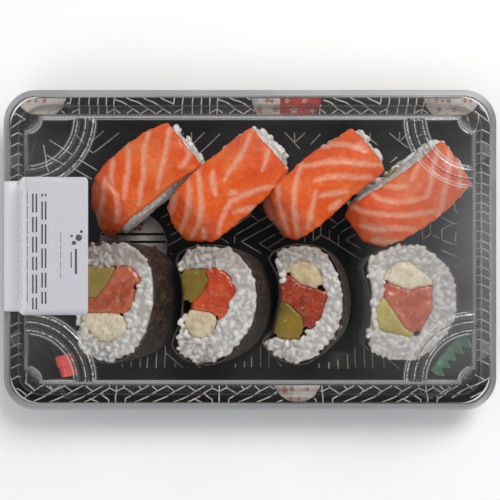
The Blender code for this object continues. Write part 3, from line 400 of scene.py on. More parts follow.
def join_into(bm, part):
    """Adds a bmesh to another."""
    spare = bpy.data.meshes.new("spare")
    part.to_mesh(spare)
    part.free()
    bm.from_mesh(spare)
    bpy.data.meshes.remove(spare)


def add_field(bm, centre, radius, low, high, lift, left=-HALF_X, right=HALF_X):
    """Round field of ink cut out of the tray's own surface, straight where it meets a limit."""
    part = bmesh.new()
    part.from_mesh(tray.data)
    bmesh.ops.scale(part, vec=(1.0 / MM, 1.0 / MM, 1.0 / MM), verts=part.verts)
    centre = Vector((centre[0], centre[1], 0.0))
    cuts = [(Vector((0.0, low, 0.0)), Vector((0.0, -1.0, 0.0))),
            (Vector((0.0, high, 0.0)), Vector((0.0, 1.0, 0.0))),
            (Vector((left, 0.0, 0.0)), Vector((-1.0, 0.0, 0.0))),
            (Vector((right, 0.0, 0.0)), Vector((1.0, 0.0, 0.0)))]
    for k in range(48):
        side = Vector((math.cos(math.radians(7.5 * k)), math.sin(math.radians(7.5 * k)), 0.0))
        cuts.append((centre + side * radius, side))
    for spot, side in cuts:
        bmesh.ops.bisect_plane(part, geom=part.verts[:] + part.edges[:] + part.faces[:], plane_co=spot,
                               plane_no=side, clear_outer=True)
    part.normal_update()
    for vert in part.verts:
        vert.co += vert.normal * lift
    join_into(bm, part)


def add_blossom(bm, x, y, size, turn):
    """Five round petals and a heart."""
    for k in range(6):
        angle = turn + 2.0 * math.pi * k / 5.0
        out = 0.62 * size if k < 5 else 0.0
        spot = Vector((x + out * math.cos(angle), y + out * math.sin(angle), 0.0))
        petal = 0.34 * size if k < 5 else 0.16 * size
        stretch = Matrix.Rotation(angle, 4, "Z") @ Matrix.Diagonal((1.0, 0.8, 1.0, 1.0))
        made = bmesh.ops.create_circle(bm, cap_ends=True, radius=petal, segments=12,
                                       matrix=Matrix.Translation(spot) @ stretch)
        drape(bm, made["verts"], INK_LIFT + 0.12)


def ink(name, light, dark):
    """Gravure ink: nearly even in colour, thinner and darker in small spots, slightly glossy."""
    made, tree, shader = new_material(name, {"Roughness": 0.45})
    place = add_node(tree, "ShaderNodeTexCoord").outputs["Object"]
    worn = add_node(tree, "ShaderNodeTexNoise", {"Vector": place, "Scale": 420.0, "Detail": 3.0})
    tone = add_node(tree, "ShaderNodeValToRGB", {"Fac": worn.outputs["Fac"]},
                    stops=[(0.32, dark), (0.55, light)])
    tree.links.new(tone.outputs["Color"], shader.inputs["Base Color"])
    return made


cream_ink = ink("cream_gravure_ink", "c6beb4", "9c948c")
field_ink = ink("cream_field_ink", "b4afa8", "a29d96")
red_ink = ink("red_gravure_ink", "ab3722", "8f2d1c")

bm = bmesh.new()
add_strokes(bm, FLOOR_STROKES + CORNER_STROKES)
add_strokes(bm, [[(x, y0), (x, y1)] for x, y0, y1 in FLOOR_FEET])
for x in BACK_STARTS:
    add_strokes(bm, BACK_MOTIF[:8] if x == BACK_STARTS[-1] else BACK_MOTIF, x=x)
for x in FRONT_STARTS:
    add_strokes(bm, FRONT_MOTIF, x=x)
for y in LEFT_PLACES:
    add_strokes(bm, [LEFT_MOTIF], y=y)
for y in RIGHT_PLACES:
    add_strokes(bm, [RIGHT_MOTIF], y=y)
lines = finish_piece("tray_print_lines", bm, [cream_ink], "tray")
bm = bmesh.new()
for k, disc in enumerate(DISCS):
    add_field(bm, *disc, INK_LIFT, right=RED_FROM_X if k == 0 else HALF_X)
for blossom in PALE_BLOSSOMS:
    add_blossom(bm, *blossom)
fields = finish_piece("tray_print_discs", bm, [field_ink], "tray")
bm = bmesh.new()
add_field(bm, *DISCS[0], INK_LIFT, left=RED_FROM_X)
for blossom in RED_BLOSSOMS:
    add_blossom(bm, *blossom)
blossoms = finish_piece("tray_print_blossoms", bm, [red_ink], "tray")
bm = bmesh.new()
(wheel_x, wheel_y), wheel_radius, _, _ = DISCS[4]
for y in BAND_PLACES:
    reach = math.sqrt(wheel_radius ** 2 - (y - wheel_y) ** 2) - BAND_HALF
    band = bmesh.ops.create_grid(bm, x_segments=20, y_segments=1, size=1.0,
                                 matrix=Matrix.Translation((wheel_x, y, 0.0))
                                 @ Matrix.Diagonal((reach, BAND_HALF, 1.0, 1.0)))
    drape(bm, band["verts"], INK_LIFT + 0.14)
stripes = finish_piece("tray_print_bands", bm, [tray_plastic], "tray")
for piece in (lines, fields, blossoms, stripes):
    film = piece.modifiers.new("film", "SOLIDIFY")
    film.thickness = INK_SHEET * MM
    film.offset = -1.0

# Lid. Clear PET sheet, vacuum formed: a flat panel with raised arcs round each corner, fluted corners, walls
# that slope to a wide flange with pull lugs, and a skirt pressed over the tray's rim. The bends carry painted
# highlights and glints, and painted dark lines lie beside the arcs and round the panel's edge.
PANEL_Z = 49.2
PANEL_INSET = 18.0
LID_SHEET = 0.45
SCALLOP_R = 6.6
LID_CORNER_STEPS = 18
RIM_CORNER = 16.0
RIM_WIDTH = 3.8
LID_RINGS = [(0.0, PANEL_Z, 0.0), (0.9, 48.3, 0.0), (2.9, 42.2, 0.15), (3.1, 41.6, 0.18), (8.6, 24.0, 0.9),
             (9.4, 22.9, 1.0), (14.0, 22.9, 1.0), (14.6, 22.4, 1.0), (14.8, 18.9, 1.0), (15.4, 18.2, 1.0),
             (18.0, 18.0, 1.0), (18.0, 17.2, 1.0)]
LUG_REACH = 9.2
# Row of the wall along the lugs' top edge, and how much painted glint that edge gets.
LUG_TOP_ROW = 8
LUG_GLINT = 0.5
# How much painted highlight each bend of the wall gets above, at and below it, from the panel's edge to the
# skirt.
BEND_HIGHLIGHT = ((0.5, 0.75, 0.25), (0.1, 0.5, 0.0), (0.0, 0.0, 0.0), (0.0, 0.08, 0.0), (0.0, 0.12, 0.0),
              (0.0, 0.1, 0.0), (0.0, 0.1, 0.0), (0.0, 0.1, 0.0), (0.1, 0.2, 0.2), (0.2, 0.2, 0.2))
# How much of that shows above row 7, on the end walls (x), in the corners (c) and on the long walls (y).
UPPER_ROWS = 7
UPPER_HIGHLIGHT = {"x": 0.4, "c": 0.6, "y": 1.0}
# How much painted glint each bend gets on the end walls.
WALL_GLINT = (0.0, 0.0, 0.0, 0.0, 0.25, 0.5, 0.75, 0.25, 0.0, 0.0)
# Raised arcs: radius about the panel's corner, height, painted highlight or, below zero, painted dark line,
# and painted glint.
RIDGE = [
    (22.4, 0.0, 0.0, 0.0), (22.95, 0.22, -0.1, 0.0), (23.2, 0.36, 0.1, 0.6), (23.55, 0.46, 0.1, 0.6),
    (23.8, 0.52, -0.45, 0.0), (24.6, 0.62, -0.15, 0.0), (25.4, 0.7, 0.0, 0.0), (26.9, 0.79, -0.1, 0.0),
    (27.15, 0.79, 0.1, 0.55), (27.45, 0.77, 0.1, 0.55), (27.7, 0.75, -0.5, 0.0), (28.5, 0.68, -0.15, 0.0),
    (29.4, 0.56, 0.0, 0.0), (30.2, 0.42, -0.1, 0.0), (30.45, 0.34, 0.1, 0.6), (30.8, 0.16, 0.1, 0.6),
    (31.2, 0.0, -0.1, 0.0)]
LUGS = {(1, 1): ((14.0, 5.0), (15.5, 5.0)), (-1, 1): ((19.0, 4.6), (13.6, 5.0)),
        (-1, -1): ((19.0, 4.6), (18.0, 4.4)), (1, -1): ((14.0, 5.0), (19.0, 4.6))}
PANEL_X = HALF_X - PANEL_INSET
PANEL_Y = HALF_Y - PANEL_INSET


def ridge_height(radius):
    """Height of the raised arcs at a distance from the panel's corner."""
    for (r0, h0, *_), (r1, h1, *_) in zip(RIDGE, RIDGE[1:]):
        if r0 <= radius <= r1:
            return h0 + (h1 - h0) * (radius - r0) / (r1 - r0)
    return 0.0


def side_stations(lug):
    """Distances from the panel corner along one side, with the lug's swell at each."""
    centre, half = lug
    stops = {round(centre + half * math.sin(math.radians(k * 11.25)), 3) for k in range(-8, 9)}
    radii = [r for r, *_ in RIDGE]
    stops = {s for s in stops if all(abs(s - r) > 0.12 for r in radii)} | set(radii)
    return [(s, math.sqrt(max(0.0, 1.0 - ((s - centre) / half) ** 2))) for s in sorted(stops)]


def lid_stations():
    """Stations round the lid, counter-clockwise: signs, which side or corner, value and swell."""
    stations = []
    for sx, sy in ((1, 1), (-1, 1), (-1, -1), (1, -1)):
        across_x, across_y = LUGS[(sx, sy)]
        run = [("x", d, b) for d, b in reversed(side_stations(across_x))]
        run += [("c", k / LID_CORNER_STEPS, 0.0) for k in range(LID_CORNER_STEPS + 1)]
        run += [("y", d, b) for d, b in side_stations(across_y)]
        if sx * sy < 0:
            run.reverse()
        stations += [(sx, sy) + item for item in run]
    return stations


def lid_point(station, out, z, turned, swell_share):
    """Point of the lid at a station, so far out from the panel's edge and turned so far from flute to arc."""
    sx, sy, side, value, swell = station
    if side == "c":
        t = math.radians(90.0 * value)
        flute = Vector((PANEL_X + out - SCALLOP_R * math.sin(t), PANEL_Y + out - SCALLOP_R * math.cos(t)))
        radius = 10.0 + 6.0 * max(0.0, out - 9.4) / 8.6
        curve = Vector((PANEL_X + out - radius + radius * math.cos(t),
                        PANEL_Y + out - radius + radius * math.sin(t)))
        spot = flute.lerp(curve, turned)
        return Vector((sx * spot.x, sy * spot.y, z))
    out += swell * swell_share * (LUG_REACH - out)
    if z == PANEL_Z:
        z += ridge_height(value)
    if side == "x":
        return Vector((sx * (PANEL_X + out), sy * (PANEL_Y - value), z))
    return Vector((sx * (PANEL_X - value), sy * (PANEL_Y + out), z))


def lid_material(name, haze, roughness, long_share, front_share, shade, highlight_tone, highlight_cover, front, end):
    """PET film: almost clear face on, more mirror-like at a slant, with painted highlights, glints and dark
    lines where it is bent, and a whitish haze in patches, most towards the right end and least in the middle;
    painted light at the front, painted shade at the right."""
    made, tree, shader = new_material(name, {"Roughness": roughness, "IOR": 1.57})
    place = add_node(tree, "ShaderNodeTexCoord").outputs["Object"]
    painted_bend_light = add_node(tree, "ShaderNodeAttribute", attribute_name="painted_bend_light").outputs["Fac"]
    painted_glint = add_node(tree, "ShaderNodeAttribute", attribute_name="painted_glint").outputs["Fac"]
    speck = add_node(tree, "ShaderNodeTexNoise", {"Vector": place, "Scale": 800.0,
                                                  "Detail": 2.0}).outputs["Fac"]
    dash = add_node(tree, "ShaderNodeMapRange", {"Value": speck, "From Min": 0.45, "From Max": 0.6,
                                                 "To Min": 0.1, "To Max": 1.5}).outputs["Result"]
    # A whitish haze in patches, strongest towards the right end and least in the middle.
    haze_cloud = add_node(tree, "ShaderNodeTexNoise", {"Vector": place, "Scale": 16.0, "Detail": 3.0}).outputs["Fac"]
    patchy_haze = add_node(tree, "ShaderNodeMapRange", {"Value": haze_cloud, "From Min": 0.38, "From Max": 0.68,
                                                  "To Min": 0.6, "To Max": 1.4}).outputs["Result"]
    parts = add_node(tree, "ShaderNodeSeparateXYZ", {"Vector": place}).outputs
    right = add_node(tree, "ShaderNodeMapRange", {"Value": parts["X"], "From Min": 0.045, "From Max": 0.1,
                                                  "To Min": haze, "To Max": haze + 0.13}).outputs["Result"]
    left = add_node(tree, "ShaderNodeMapRange", {"Value": parts["X"], "From Min": -0.1, "From Max": -0.06,
                                                 "To Min": 0.05, "To Max": 0.0}).outputs["Result"]
    depth = add_node(tree, "ShaderNodeMath", {0: parts["Y"]}, operation="ABSOLUTE").outputs[0]
    share = add_node(tree, "ShaderNodeMapRange", {"Value": depth, "From Min": 0.03, "From Max": 0.058,
                                                  "To Min": 1.0, "To Max": long_share}).outputs["Result"]
    ends = add_node(tree, "ShaderNodeMath", {0: right, 1: left}, operation="ADD").outputs[0]
    edges = add_node(tree, "ShaderNodeMapRange", {"Value": depth, "From Min": 0.03, "From Max": 0.05,
                                                  "To Min": 0.0, "To Max": 0.016}).outputs["Result"]
    sides = add_node(tree, "ShaderNodeMath", {0: ends, 1: share, 2: edges},
                     operation="MULTIPLY_ADD").outputs[0]
    front_rim = add_node(tree, "ShaderNodeMapRange", {
        "Value": parts["Y"], "From Min": -0.066, "From Max": -0.061, "To Min": front_share}).outputs["Result"]
    haze_cover = add_node(tree, "ShaderNodeMath", {0: sides, 1: patchy_haze}, operation="MULTIPLY").outputs[0]
    haze_cover = add_node(tree, "ShaderNodeMath", {0: haze_cover, 1: front_rim}, operation="MULTIPLY").outputs[0]
    slant = add_node(tree, "ShaderNodeLayerWeight", {"Blend": 0.5}).outputs["Facing"]
    steep = add_node(tree, "ShaderNodeMath", {0: slant, 1: 7.0}, operation="POWER").outputs[0]
    glare = add_node(tree, "ShaderNodeMath", {0: steep, 1: 0.14, 2: haze_cover},
                     operation="MULTIPLY_ADD").outputs[0]
    # Painted highlights and glints at the bends; below zero the bend value paints a dark line.
    strong = add_node(tree, "ShaderNodeMath", {0: painted_bend_light}, operation="ABSOLUTE").outputs[0]
    painted_light = add_node(tree, "ShaderNodeMath", {0: painted_glint, 1: dash, 2: strong},
                     operation="MULTIPLY_ADD").outputs[0]
    cover = add_node(tree, "ShaderNodeMath", {0: painted_light, 1: highlight_cover, 2: glare}, operation="MULTIPLY_ADD",
                     use_clamp=True).outputs[0]
    signed = add_node(tree, "ShaderNodeMath", {0: painted_bend_light, 1: painted_glint}, operation="ADD").outputs[0]
    level = add_node(tree, "ShaderNodeMapRange", {"Value": signed, "From Min": -0.5,
                                                  "From Max": 0.7}).outputs["Result"]
    ramp = add_node(tree, "ShaderNodeValToRGB", {"Fac": level},
                    stops=[(0.0, "0c0c0d"), (0.4, shade), (0.9, highlight_tone)])
    # Painted light on the front of the rim and painted shade on its right end.
    front_painted_light = add_node(tree, "ShaderNodeMapRange", {"Value": parts["Y"], "From Min": -0.078, "From Max": -0.07,
                                                   "To Min": front, "To Max": 0.0}).outputs["Result"]
    front_lit_tone = add_node(tree, "ShaderNodeMix", {0: front_painted_light, 6: ramp.outputs["Color"], 7: colour("f4f4f6")},
                       data_type="RGBA").outputs[2]
    right_painted_shade = add_node(tree, "ShaderNodeMapRange", {"Value": parts["X"], "From Min": 0.112, "From Max": 0.12,
                                                  "To Min": 0.0, "To Max": end}).outputs["Result"]
    right_shaded_tone = add_node(tree, "ShaderNodeMix", {0: right_painted_shade, 6: front_lit_tone, 7: colour("3e3e40")},
                     data_type="RGBA").outputs[2]
    tree.links.new(right_shaded_tone, shader.inputs["Base Color"])
    tree.links.new(cover, shader.inputs["Alpha"])
    made.surface_render_method = "BLENDED"
    return made


# Clear PET, formed: panel and walls are glossy and nearly invisible. The rim lies bent over the tray's edge,
# so it looks hazy and duller; its grey is partly painted shade, with painted light at the front and painted
# shade at the right end.
clear_film = lid_material("clear_pet_sheet", 0.003, 0.07, 0.3, 0.1, "bcbcbf", "dededf", 0.55, 0.0, 0.0)
rim_film = lid_material("clear_pet_rim", 0.72, 0.32, 1.0, 1.0, "8b8b8e", "c4c4c7", 0.3, 0.35, 0.5)

bm = bmesh.new()
# Per vertex: painted highlight, below zero a painted dark line, and painted glint.
painted_bend_light = bm.verts.layers.float.new("painted_bend_light")
painted_glint = bm.verts.layers.float.new("painted_glint")
stations = lid_stations()
profile = [(out, z) for out, z, _ in LID_RINGS]
turns = [turned for _, _, turned in LID_RINGS]
wall = [(0.0, PANEL_Z, 0.0, 0.0, 0.45, 0.0)]
for k in range(1, len(profile) - 1):
    before, bend, after = Vector(profile[k - 1]), Vector(profile[k]), Vector(profile[k + 1])
    reach = [min(0.35, 0.7 / max(0.01, edge.length)) for edge in (bend - before, after - bend)]
    for step, t in enumerate((0.0, 0.5, 1.0)):
        spot = bend.lerp(before, reach[0] * (1.0 - t) ** 2).lerp(bend.lerp(after, reach[1]), t * t)
        later = (turns[k + 1] - turns[k]) * reach[1] * t * t
        turned = turns[k] + later - (turns[k] - turns[k - 1]) * reach[0] * (1 - t) ** 2
        lug = 1.0 if k in (3, 4) else 0.0
        glint = WALL_GLINT[k - 1] if step == 1 else 0.0
        wall.append((spot.x, spot.y, turned, lug, BEND_HIGHLIGHT[k - 1][step], glint))
wall.append((profile[-1][0], profile[-1][1], 1.0, 0.0, 0.1, 0.0))
rows = draw_out(bm, [[lid_point(s, out, z, turned, lug) for s in stations]
                     for out, z, turned, lug, *_ in wall])
for k, (row, (*_, painted_light, glint)) in enumerate(zip(rows, wall)):
    for vert, (_, _, side, _, swell) in zip(row, stations):
        vert[painted_bend_light] = painted_light * (UPPER_HIGHLIGHT[side] if k < UPPER_ROWS else 1.0)
        on_end = glint if side == "x" else 0.0
        vert[painted_glint] = on_end + (LUG_GLINT if k == LUG_TOP_ROW and swell > 0.0 else 0.0)
for face in bm.faces:
    middle = face.calc_center_median()
    past = Vector((max(0.0, abs(middle.x) - HALF_X + RIM_CORNER),
                   max(0.0, abs(middle.y) - HALF_Y + RIM_CORNER)))
    low = min(v.co.z for v in face.verts) < 22.7
    face.material_index = 1 if low and past.length > RIM_CORNER - RIM_WIDTH else 0
for sx, sy in ((1, 1), (-1, 1), (-1, -1), (1, -1)):
    corner = Vector((sx * PANEL_X, sy * PANEL_Y, 0.0))
    line = bmesh.ops.create_grid(bm, x_segments=len(RIDGE) - 1, y_segments=1, size=0.5)["verts"]
    bmesh.ops.delete(bm, geom=[v for v in line if v.co.y > 0.0], context="VERTS")
    line = sorted((v for v in line if v.is_valid), key=lambda v: v.co.x)
    for vert, (radius, height, painted_light, glint) in zip(line, RIDGE):
        vert.co = corner + Vector((-sx * radius, 0.0, PANEL_Z + height))
        vert[painted_bend_light] = painted_light
        vert[painted_glint] = glint
    edges = [e for e in bm.edges if e.verts[0] in line and e.verts[1] in line]
    bmesh.ops.spin(bm, geom=line + edges, cent=corner, axis=UP, angle=0.5 * math.pi * sx * sy, steps=26)
bmesh.ops.remove_doubles(bm, verts=bm.verts, dist=0.03)
open_edges = [e for e in bm.edges if e.is_boundary and min(v.co.z for v in e.verts) > PANEL_Z - 0.1]
made = bmesh.ops.holes_fill(bm, edges=open_edges, sides=0)["faces"]
# A painted highlight and then a painted dark line run round the panel's edge, the highlight fainter at the
# panel's ends.
for thickness, painted_light in ((0.7, 0.62), (0.3, -0.35), (0.5, 0.0)):
    bmesh.ops.inset_individual(bm, faces=made, thickness=thickness)
    for vert in {v for f in made for v in f.verts}:
        vert[painted_bend_light] = painted_light * (0.3 if painted_light > 0.0 and abs(vert.co.x) > PANEL_X - 2.0 else 1.0)
        vert[painted_glint] = 0.0
bmesh.ops.recalc_face_normals(bm, faces=bm.faces)
if made[0].normal.z < 0.0:
    bmesh.ops.reverse_faces(bm, faces=bm.faces)
lid = finish_piece("lid_sheet", bm, [clear_film, rim_film], "lid", ["lid"])
sheet = lid.modifiers.new("sheet", "SOLIDIFY")
sheet.thickness = LID_SHEET * MM
sheet.offset = -1.0

# Label. Matt white label paper with an acrylic back, stuck over the panel's left end and down the wall to the
# rim, with rows of plain bars and a small plain motif of dots.
LABEL_END_X = -73.7
LABEL_LOW_Y = -29.6
LABEL_HIGH_Y = 33.2
LABEL_LIFT = 0.35
LABEL_SHEET = 0.25
LABEL_CORNER = 1.8
LABEL_WALL = [(-0.1, PANEL_Z), (1.35, 48.6), (3.45, 42.2), (9.0, 24.4), (9.8, 23.35), (14.0, 23.35),
              (15.1, 22.6), (17.4, 18.6)]
MARK_LIFT = LABEL_SHEET + 0.03
MARK_SHEET = 0.02


def label_path():
    """Points of the label's run from its end on the panel to the rim, as distance, X and Z."""
    points = [Vector((-PANEL_X - out, z)) for out, z in LABEL_WALL[1:]]
    points.insert(0, Vector((-PANEL_X - LABEL_WALL[0][0], PANEL_Z + LABEL_LIFT)))
    points.insert(0, Vector((LABEL_END_X, PANEL_Z + LABEL_LIFT)))
    total, run = 0.0, [(0.0, points[0])]
    for a, b in zip(points, points[1:]):
        total += (b - a).length
        run.append((total, b))
    return run


LABEL_RUN = label_path()
LABEL_LENGTH = LABEL_RUN[-1][0]


def label_point(along, y, lift=0.0):
    """Point of the label at a distance along its run."""
    along = min(max(along, 0.0), LABEL_LENGTH)
    for (d0, a), (d1, b) in zip(LABEL_RUN, LABEL_RUN[1:]):
        if along <= d1:
            spot = a.lerp(b, (along - d0) / (d1 - d0))
            out = Vector((a.y - b.y, b.x - a.x)).normalized() * -1.0
            break
    if d0 == 0.0:
        spot = Vector((spot.x, spot.y + ridge_height(math.hypot(abs(spot.x) - PANEL_X, abs(y) - PANEL_Y))))
    spot = spot + out * lift
    return Vector((spot.x, y, spot.y))


# Coated paper: even, slightly bluish white, lighter by painted light where it runs down the wall, faintly
# uneven in gloss.
label_paper, tree, shader = new_material("coated_label_paper", {"Roughness": 0.55, "Sheen Weight": 0.05})
place = add_node(tree, "ShaderNodeTexCoord").outputs["Object"]
fibre = add_node(tree, "ShaderNodeTexNoise", {"Vector": place, "Scale": 900.0, "Detail": 4.0})
tone = add_node(tree, "ShaderNodeValToRGB", {"Fac": fibre.outputs["Fac"]},
                stops=[(0.3, "c2c0c8"), (0.7, "cbc9d1")])
along = add_node(tree, "ShaderNodeSeparateXYZ", {"Vector": place}).outputs["X"]
# Painted light where the label runs down the wall.
painted_wall_light = add_node(tree, "ShaderNodeMapRange", {"Value": along, "From Min": -0.1035, "From Max": -0.1015,
                                              "To Min": 0.85, "To Max": 0.0}).outputs["Result"]
tone = add_node(tree, "ShaderNodeMix", {0: painted_wall_light, 6: tone.outputs["Color"], 7: colour("f4f3f8")},
                data_type="RGBA")
soft = add_node(tree, "ShaderNodeTexNoise", {"Vector": place, "Scale": 70.0, "Detail": 2.0})
bump = add_node(tree, "ShaderNodeBump", {"Height": soft.outputs["Fac"], "Strength": 0.06, "Distance": 0.0004})
tree.links.new(tone.outputs[2], shader.inputs["Base Color"])
tree.links.new(bump.outputs["Normal"], shader.inputs["Normal"])
# Thermal print: flat dark grey, a little worn.
label_ink, tree, shader = new_material("thermal_print", {"Roughness": 0.6})
place = add_node(tree, "ShaderNodeTexCoord").outputs["Object"]
worn = add_node(tree, "ShaderNodeTexNoise", {"Vector": place, "Scale": 600.0, "Detail": 2.0})
tone = add_node(tree, "ShaderNodeValToRGB", {"Fac": worn.outputs["Fac"]},
                stops=[(0.3, "3a393e"), (0.7, "57565b")])
tree.links.new(tone.outputs["Color"], shader.inputs["Base Color"])


def add_label_field(bm, along0, along1, y0, y1, lift, step=1.2):
    """Rectangle on the label, in steps along its run."""
    columns = max(1, math.ceil((along1 - along0) / step))
    rows = max(1, math.ceil((y1 - y0) / 3.0))
    made = bmesh.ops.create_grid(bm, x_segments=columns, y_segments=rows, size=0.5)["verts"]
    for vert in made:
        along = along0 + (along1 - along0) * (vert.co.x + 0.5)
        y = y0 + (y1 - y0) * (vert.co.y + 0.5)
        near = min(along, LABEL_CORNER)
        trim = LABEL_CORNER - math.sqrt(max(0.0, LABEL_CORNER ** 2 - (LABEL_CORNER - near) ** 2))
        y = min(max(y, LABEL_LOW_Y + trim), LABEL_HIGH_Y - trim)
        vert.co = label_point(along, y, lift)


bm = bmesh.new()
add_label_field(bm, 0.0, LABEL_LENGTH, LABEL_LOW_Y, LABEL_HIGH_Y, LABEL_SHEET, step=0.6)
bmesh.ops.recalc_face_normals(bm, faces=bm.faces)
if max(bm.faces, key=lambda f: f.normal.z ** 2).normal.z < 0.0:
    bmesh.ops.reverse_faces(bm, faces=bm.faces)
label = finish_piece("label_paper", bm, [label_paper], "label", ["label"])
sheet = label.modifiers.new("sheet", "SOLIDIFY")
sheet.thickness = LABEL_SHEET * MM
sheet.offset = -1.0
bm = bmesh.new()
# Rows of plain bars: distance along the label, width, first and last Y, shortest and longest bar, gap.
for along, width, first, last, shortest, longest, gap in (
        (18.9, 0.75, -24.5, 25.6, 5.0, 9.0, 1.9), (20.5, 0.75, -24.5, 25.6, 5.0, 9.0, 1.9),
        (23.1, 0.75, -28.0, 25.6, 5.0, 9.0, 1.9), (24.7, 0.75, -28.0, 25.6, 5.0, 9.0, 1.9),
        (27.5, 0.3, -24.0, 28.0, 2.0, 7.0, 0.9), (33.5, 0.9, -22.0, 28.0, 1.5, 6.0, 0.8),
        (40.5, 0.9, -27.0, 29.0, 1.5, 6.0, 0.8), (47.5, 0.9, -20.0, 29.0, 1.5, 6.0, 0.8),
        (54.4, 0.6, -24.0, 27.0, 1.5, 6.0, 0.8), (12.3, 0.22, -13.0, 9.0, 1.5, 5.0, 0.7)):
    rng = random.Random(round(first * 10.0))
    y = first
    while y < last - 1.0:
        size = rng.uniform(shortest, longest)
        add_label_field(bm, along, along + width, y, min(y + size, last), MARK_LIFT, step=1.0)
        y += size + gap * rng.uniform(0.8, 1.2)
for along, y, radius in ((4.2, 5.6, 1.5), (6.4, 3.2, 1.0), (3.0, 8.4, 0.7), (7.4, 6.4, 0.6)):
    made = bmesh.ops.create_circle(bm, cap_ends=True, radius=radius, segments=20)["verts"]
    for vert in made:
        vert.co = label_point(along + vert.co.x, y + vert.co.y, MARK_LIFT)
add_label_field(bm, 5.0, 6.0, -11.0, 0.5, MARK_LIFT)
add_label_field(bm, 7.4, 7.9, -8.0, -1.0, MARK_LIFT)
bmesh.ops.recalc_face_normals(bm, faces=bm.faces)
for face in bm.faces:
    if face.normal.z < -0.01 or (abs(face.normal.z) <= 0.01 and face.normal.x > 0.0):
        face.normal_flip()
marks = finish_piece("label_bars", bm, [label_ink], "label", smooth=False)
film = marks.modifiers.new("film", "SOLIDIFY")
film.thickness = MARK_SHEET * MM
film.offset = -1.0

# Salmon slices. Raw salmon cut across the muscle into slices 4 mm thick, laid over the rice and drooping at
# their lower left ends. Pale fat shows as lines 1 to 1.5 mm wide, and the cut face is moist.
SLICE_VOXEL = 0.5
FOOD_FLOOR = 1.0
SLICE_SWELL = 0.25
SLICE_WAVE = 0.3
SLICE_FIBRE = 0.07
SLICE_RAGGED = 0.7
SLICE_FRONT = 0.8
FAT_GROOVE = 0.16
FAT_REACH = 1.1
CREASE_DEPTH = 0.3
CREASE_REACH = 0.9
# Camera's height and its distance from the slices' tops, for which the lines below are given.
EYE_Z = 502.0
EYE_TO_SLICES = 468.0
# Fat lines of each slice in mm in plan, as they lie at the slices' height.
FAT_LINES = {
    1: [[(-64.2, 42.7), (-64.7, 39.0), (-65.2, 35.1), (-64.5, 31.1)],
        [(-57.9, 49.6), (-56.9, 43.0), (-57.2, 36.4), (-58.6, 31.1), (-59.2, 24.5)],
        [(-47.7, 54.9), (-49.6, 48.3), (-50.0, 40.3), (-50.0, 34.4), (-51.6, 28.4), (-52.3, 21.8)],
        [(-37.8, 56.9), (-39.1, 50.2), (-40.4, 42.3), (-42.1, 37.0), (-43.4, 29.8)],
        [(-29.8, 48.9), (-28.8, 45.0), (-30.8, 41.0), (-32.8, 39.3)],
        [(-67.8, 33.7), (-68.8, 25.8), (-70.1, 19.2), (-72.4, 10.6)],
        [(-66.8, 32.4), (-62.9, 25.8), (-62.2, 19.2), (-62.5, 13.9)]],
    2: [[(0.2, 54.2), (-2.1, 48.3), (-6.7, 41.0), (-10.0, 36.4), (-11.7, 33.1)],
        [(8.2, 46.3), (7.5, 42.3), (5.8, 37.7)],
        [(-17.3, 37.0), (-17.9, 33.7), (-16.6, 28.4), (-16.0, 25.8)],
        [(-24.2, 37.7), (-23.6, 32.4), (-23.2, 25.8), (-22.6, 19.9), (-23.9, 13.3), (-27.2, 6.0)],
        [(-28.8, 32.4), (-28.5, 25.8), (-29.2, 17.9), (-32.5, 8.6)],
        [(-34.5, 26.5), (-35.8, 22.5), (-37.1, 17.9)],
        [(11.5, 30.1), (5.8, 29.4), (1.2, 27.5), (-4.1, 25.5), (-9.0, 23.2), (-11.3, 19.2), (-14.0, 12.6),
         (-15.0, 8.6)],
        [(1.9, 20.5), (-2.7, 19.2), (-7.4, 17.9)],
        [(-21.6, 10.0), (-21.2, 6.0)], [(-9.6, 26.4), (-6.4, 27.2)], [(-9.0, 27.3), (-7.4, 27.6)]],
    3: [[(34.3, 48.3), (39.0, 49.7), (45.3, 49.7), (51.5, 47.9), (54.6, 46.7)],
        [(25.4, 39.7), (30.4, 40.1), (38.2, 41.7), (46.0, 41.7), (54.6, 40.5), (63.2, 40.1)],
        [(30.4, 32.7), (35.9, 34.2), (42.1, 35.0), (49.9, 34.2), (56.2, 34.6)],
        [(24.6, 40.5), (22.2, 34.2), (21.1, 26.4), (20.7, 20.2), (21.8, 12.4), (22.6, 6.1)],
        [(31.2, 28.0), (29.6, 21.7), (28.1, 15.5), (27.3, 10.8)],
        [(32.8, 25.6), (39.0, 26.8), (46.0, 27.6)],
        [(13.6, 30.3), (13.6, 23.3), (15.6, 15.5), (17.9, 8.5)],
        [(37.5, 19.4), (42.1, 23.3)],
        [(8.2, 23.3), (10.9, 15.5), (14.8, 8.5)]],
    4: [[(88.2, 46.7), (87.4, 42.8), (85.9, 35.0), (84.3, 28.0), (83.1, 24.9)],
        [(94.1, 47.5), (93.7, 38.9), (92.1, 31.1), (90.5, 21.7), (88.2, 16.3)],
        [(98.4, 42.8), (99.1, 35.0), (98.4, 29.5)],
        [(80.0, 40.5), (77.3, 35.8), (76.1, 32.7)],
        [(64.0, 29.9), (68.7, 29.5), (73.4, 29.9)],
        [(57.8, 26.0), (62.4, 23.7), (69.5, 22.5), (77.3, 23.3), (82.0, 24.9)],
        [(48.4, 20.2), (54.6, 17.8), (63.2, 16.7), (73.4, 16.3), (81.2, 17.4), (87.4, 18.6)],
        [(52.3, 11.6), (60.1, 10.0), (68.7, 10.4), (77.3, 10.0)],
        [(57.8, 5.3), (64.0, 3.8), (68.7, 4.6)]],
}
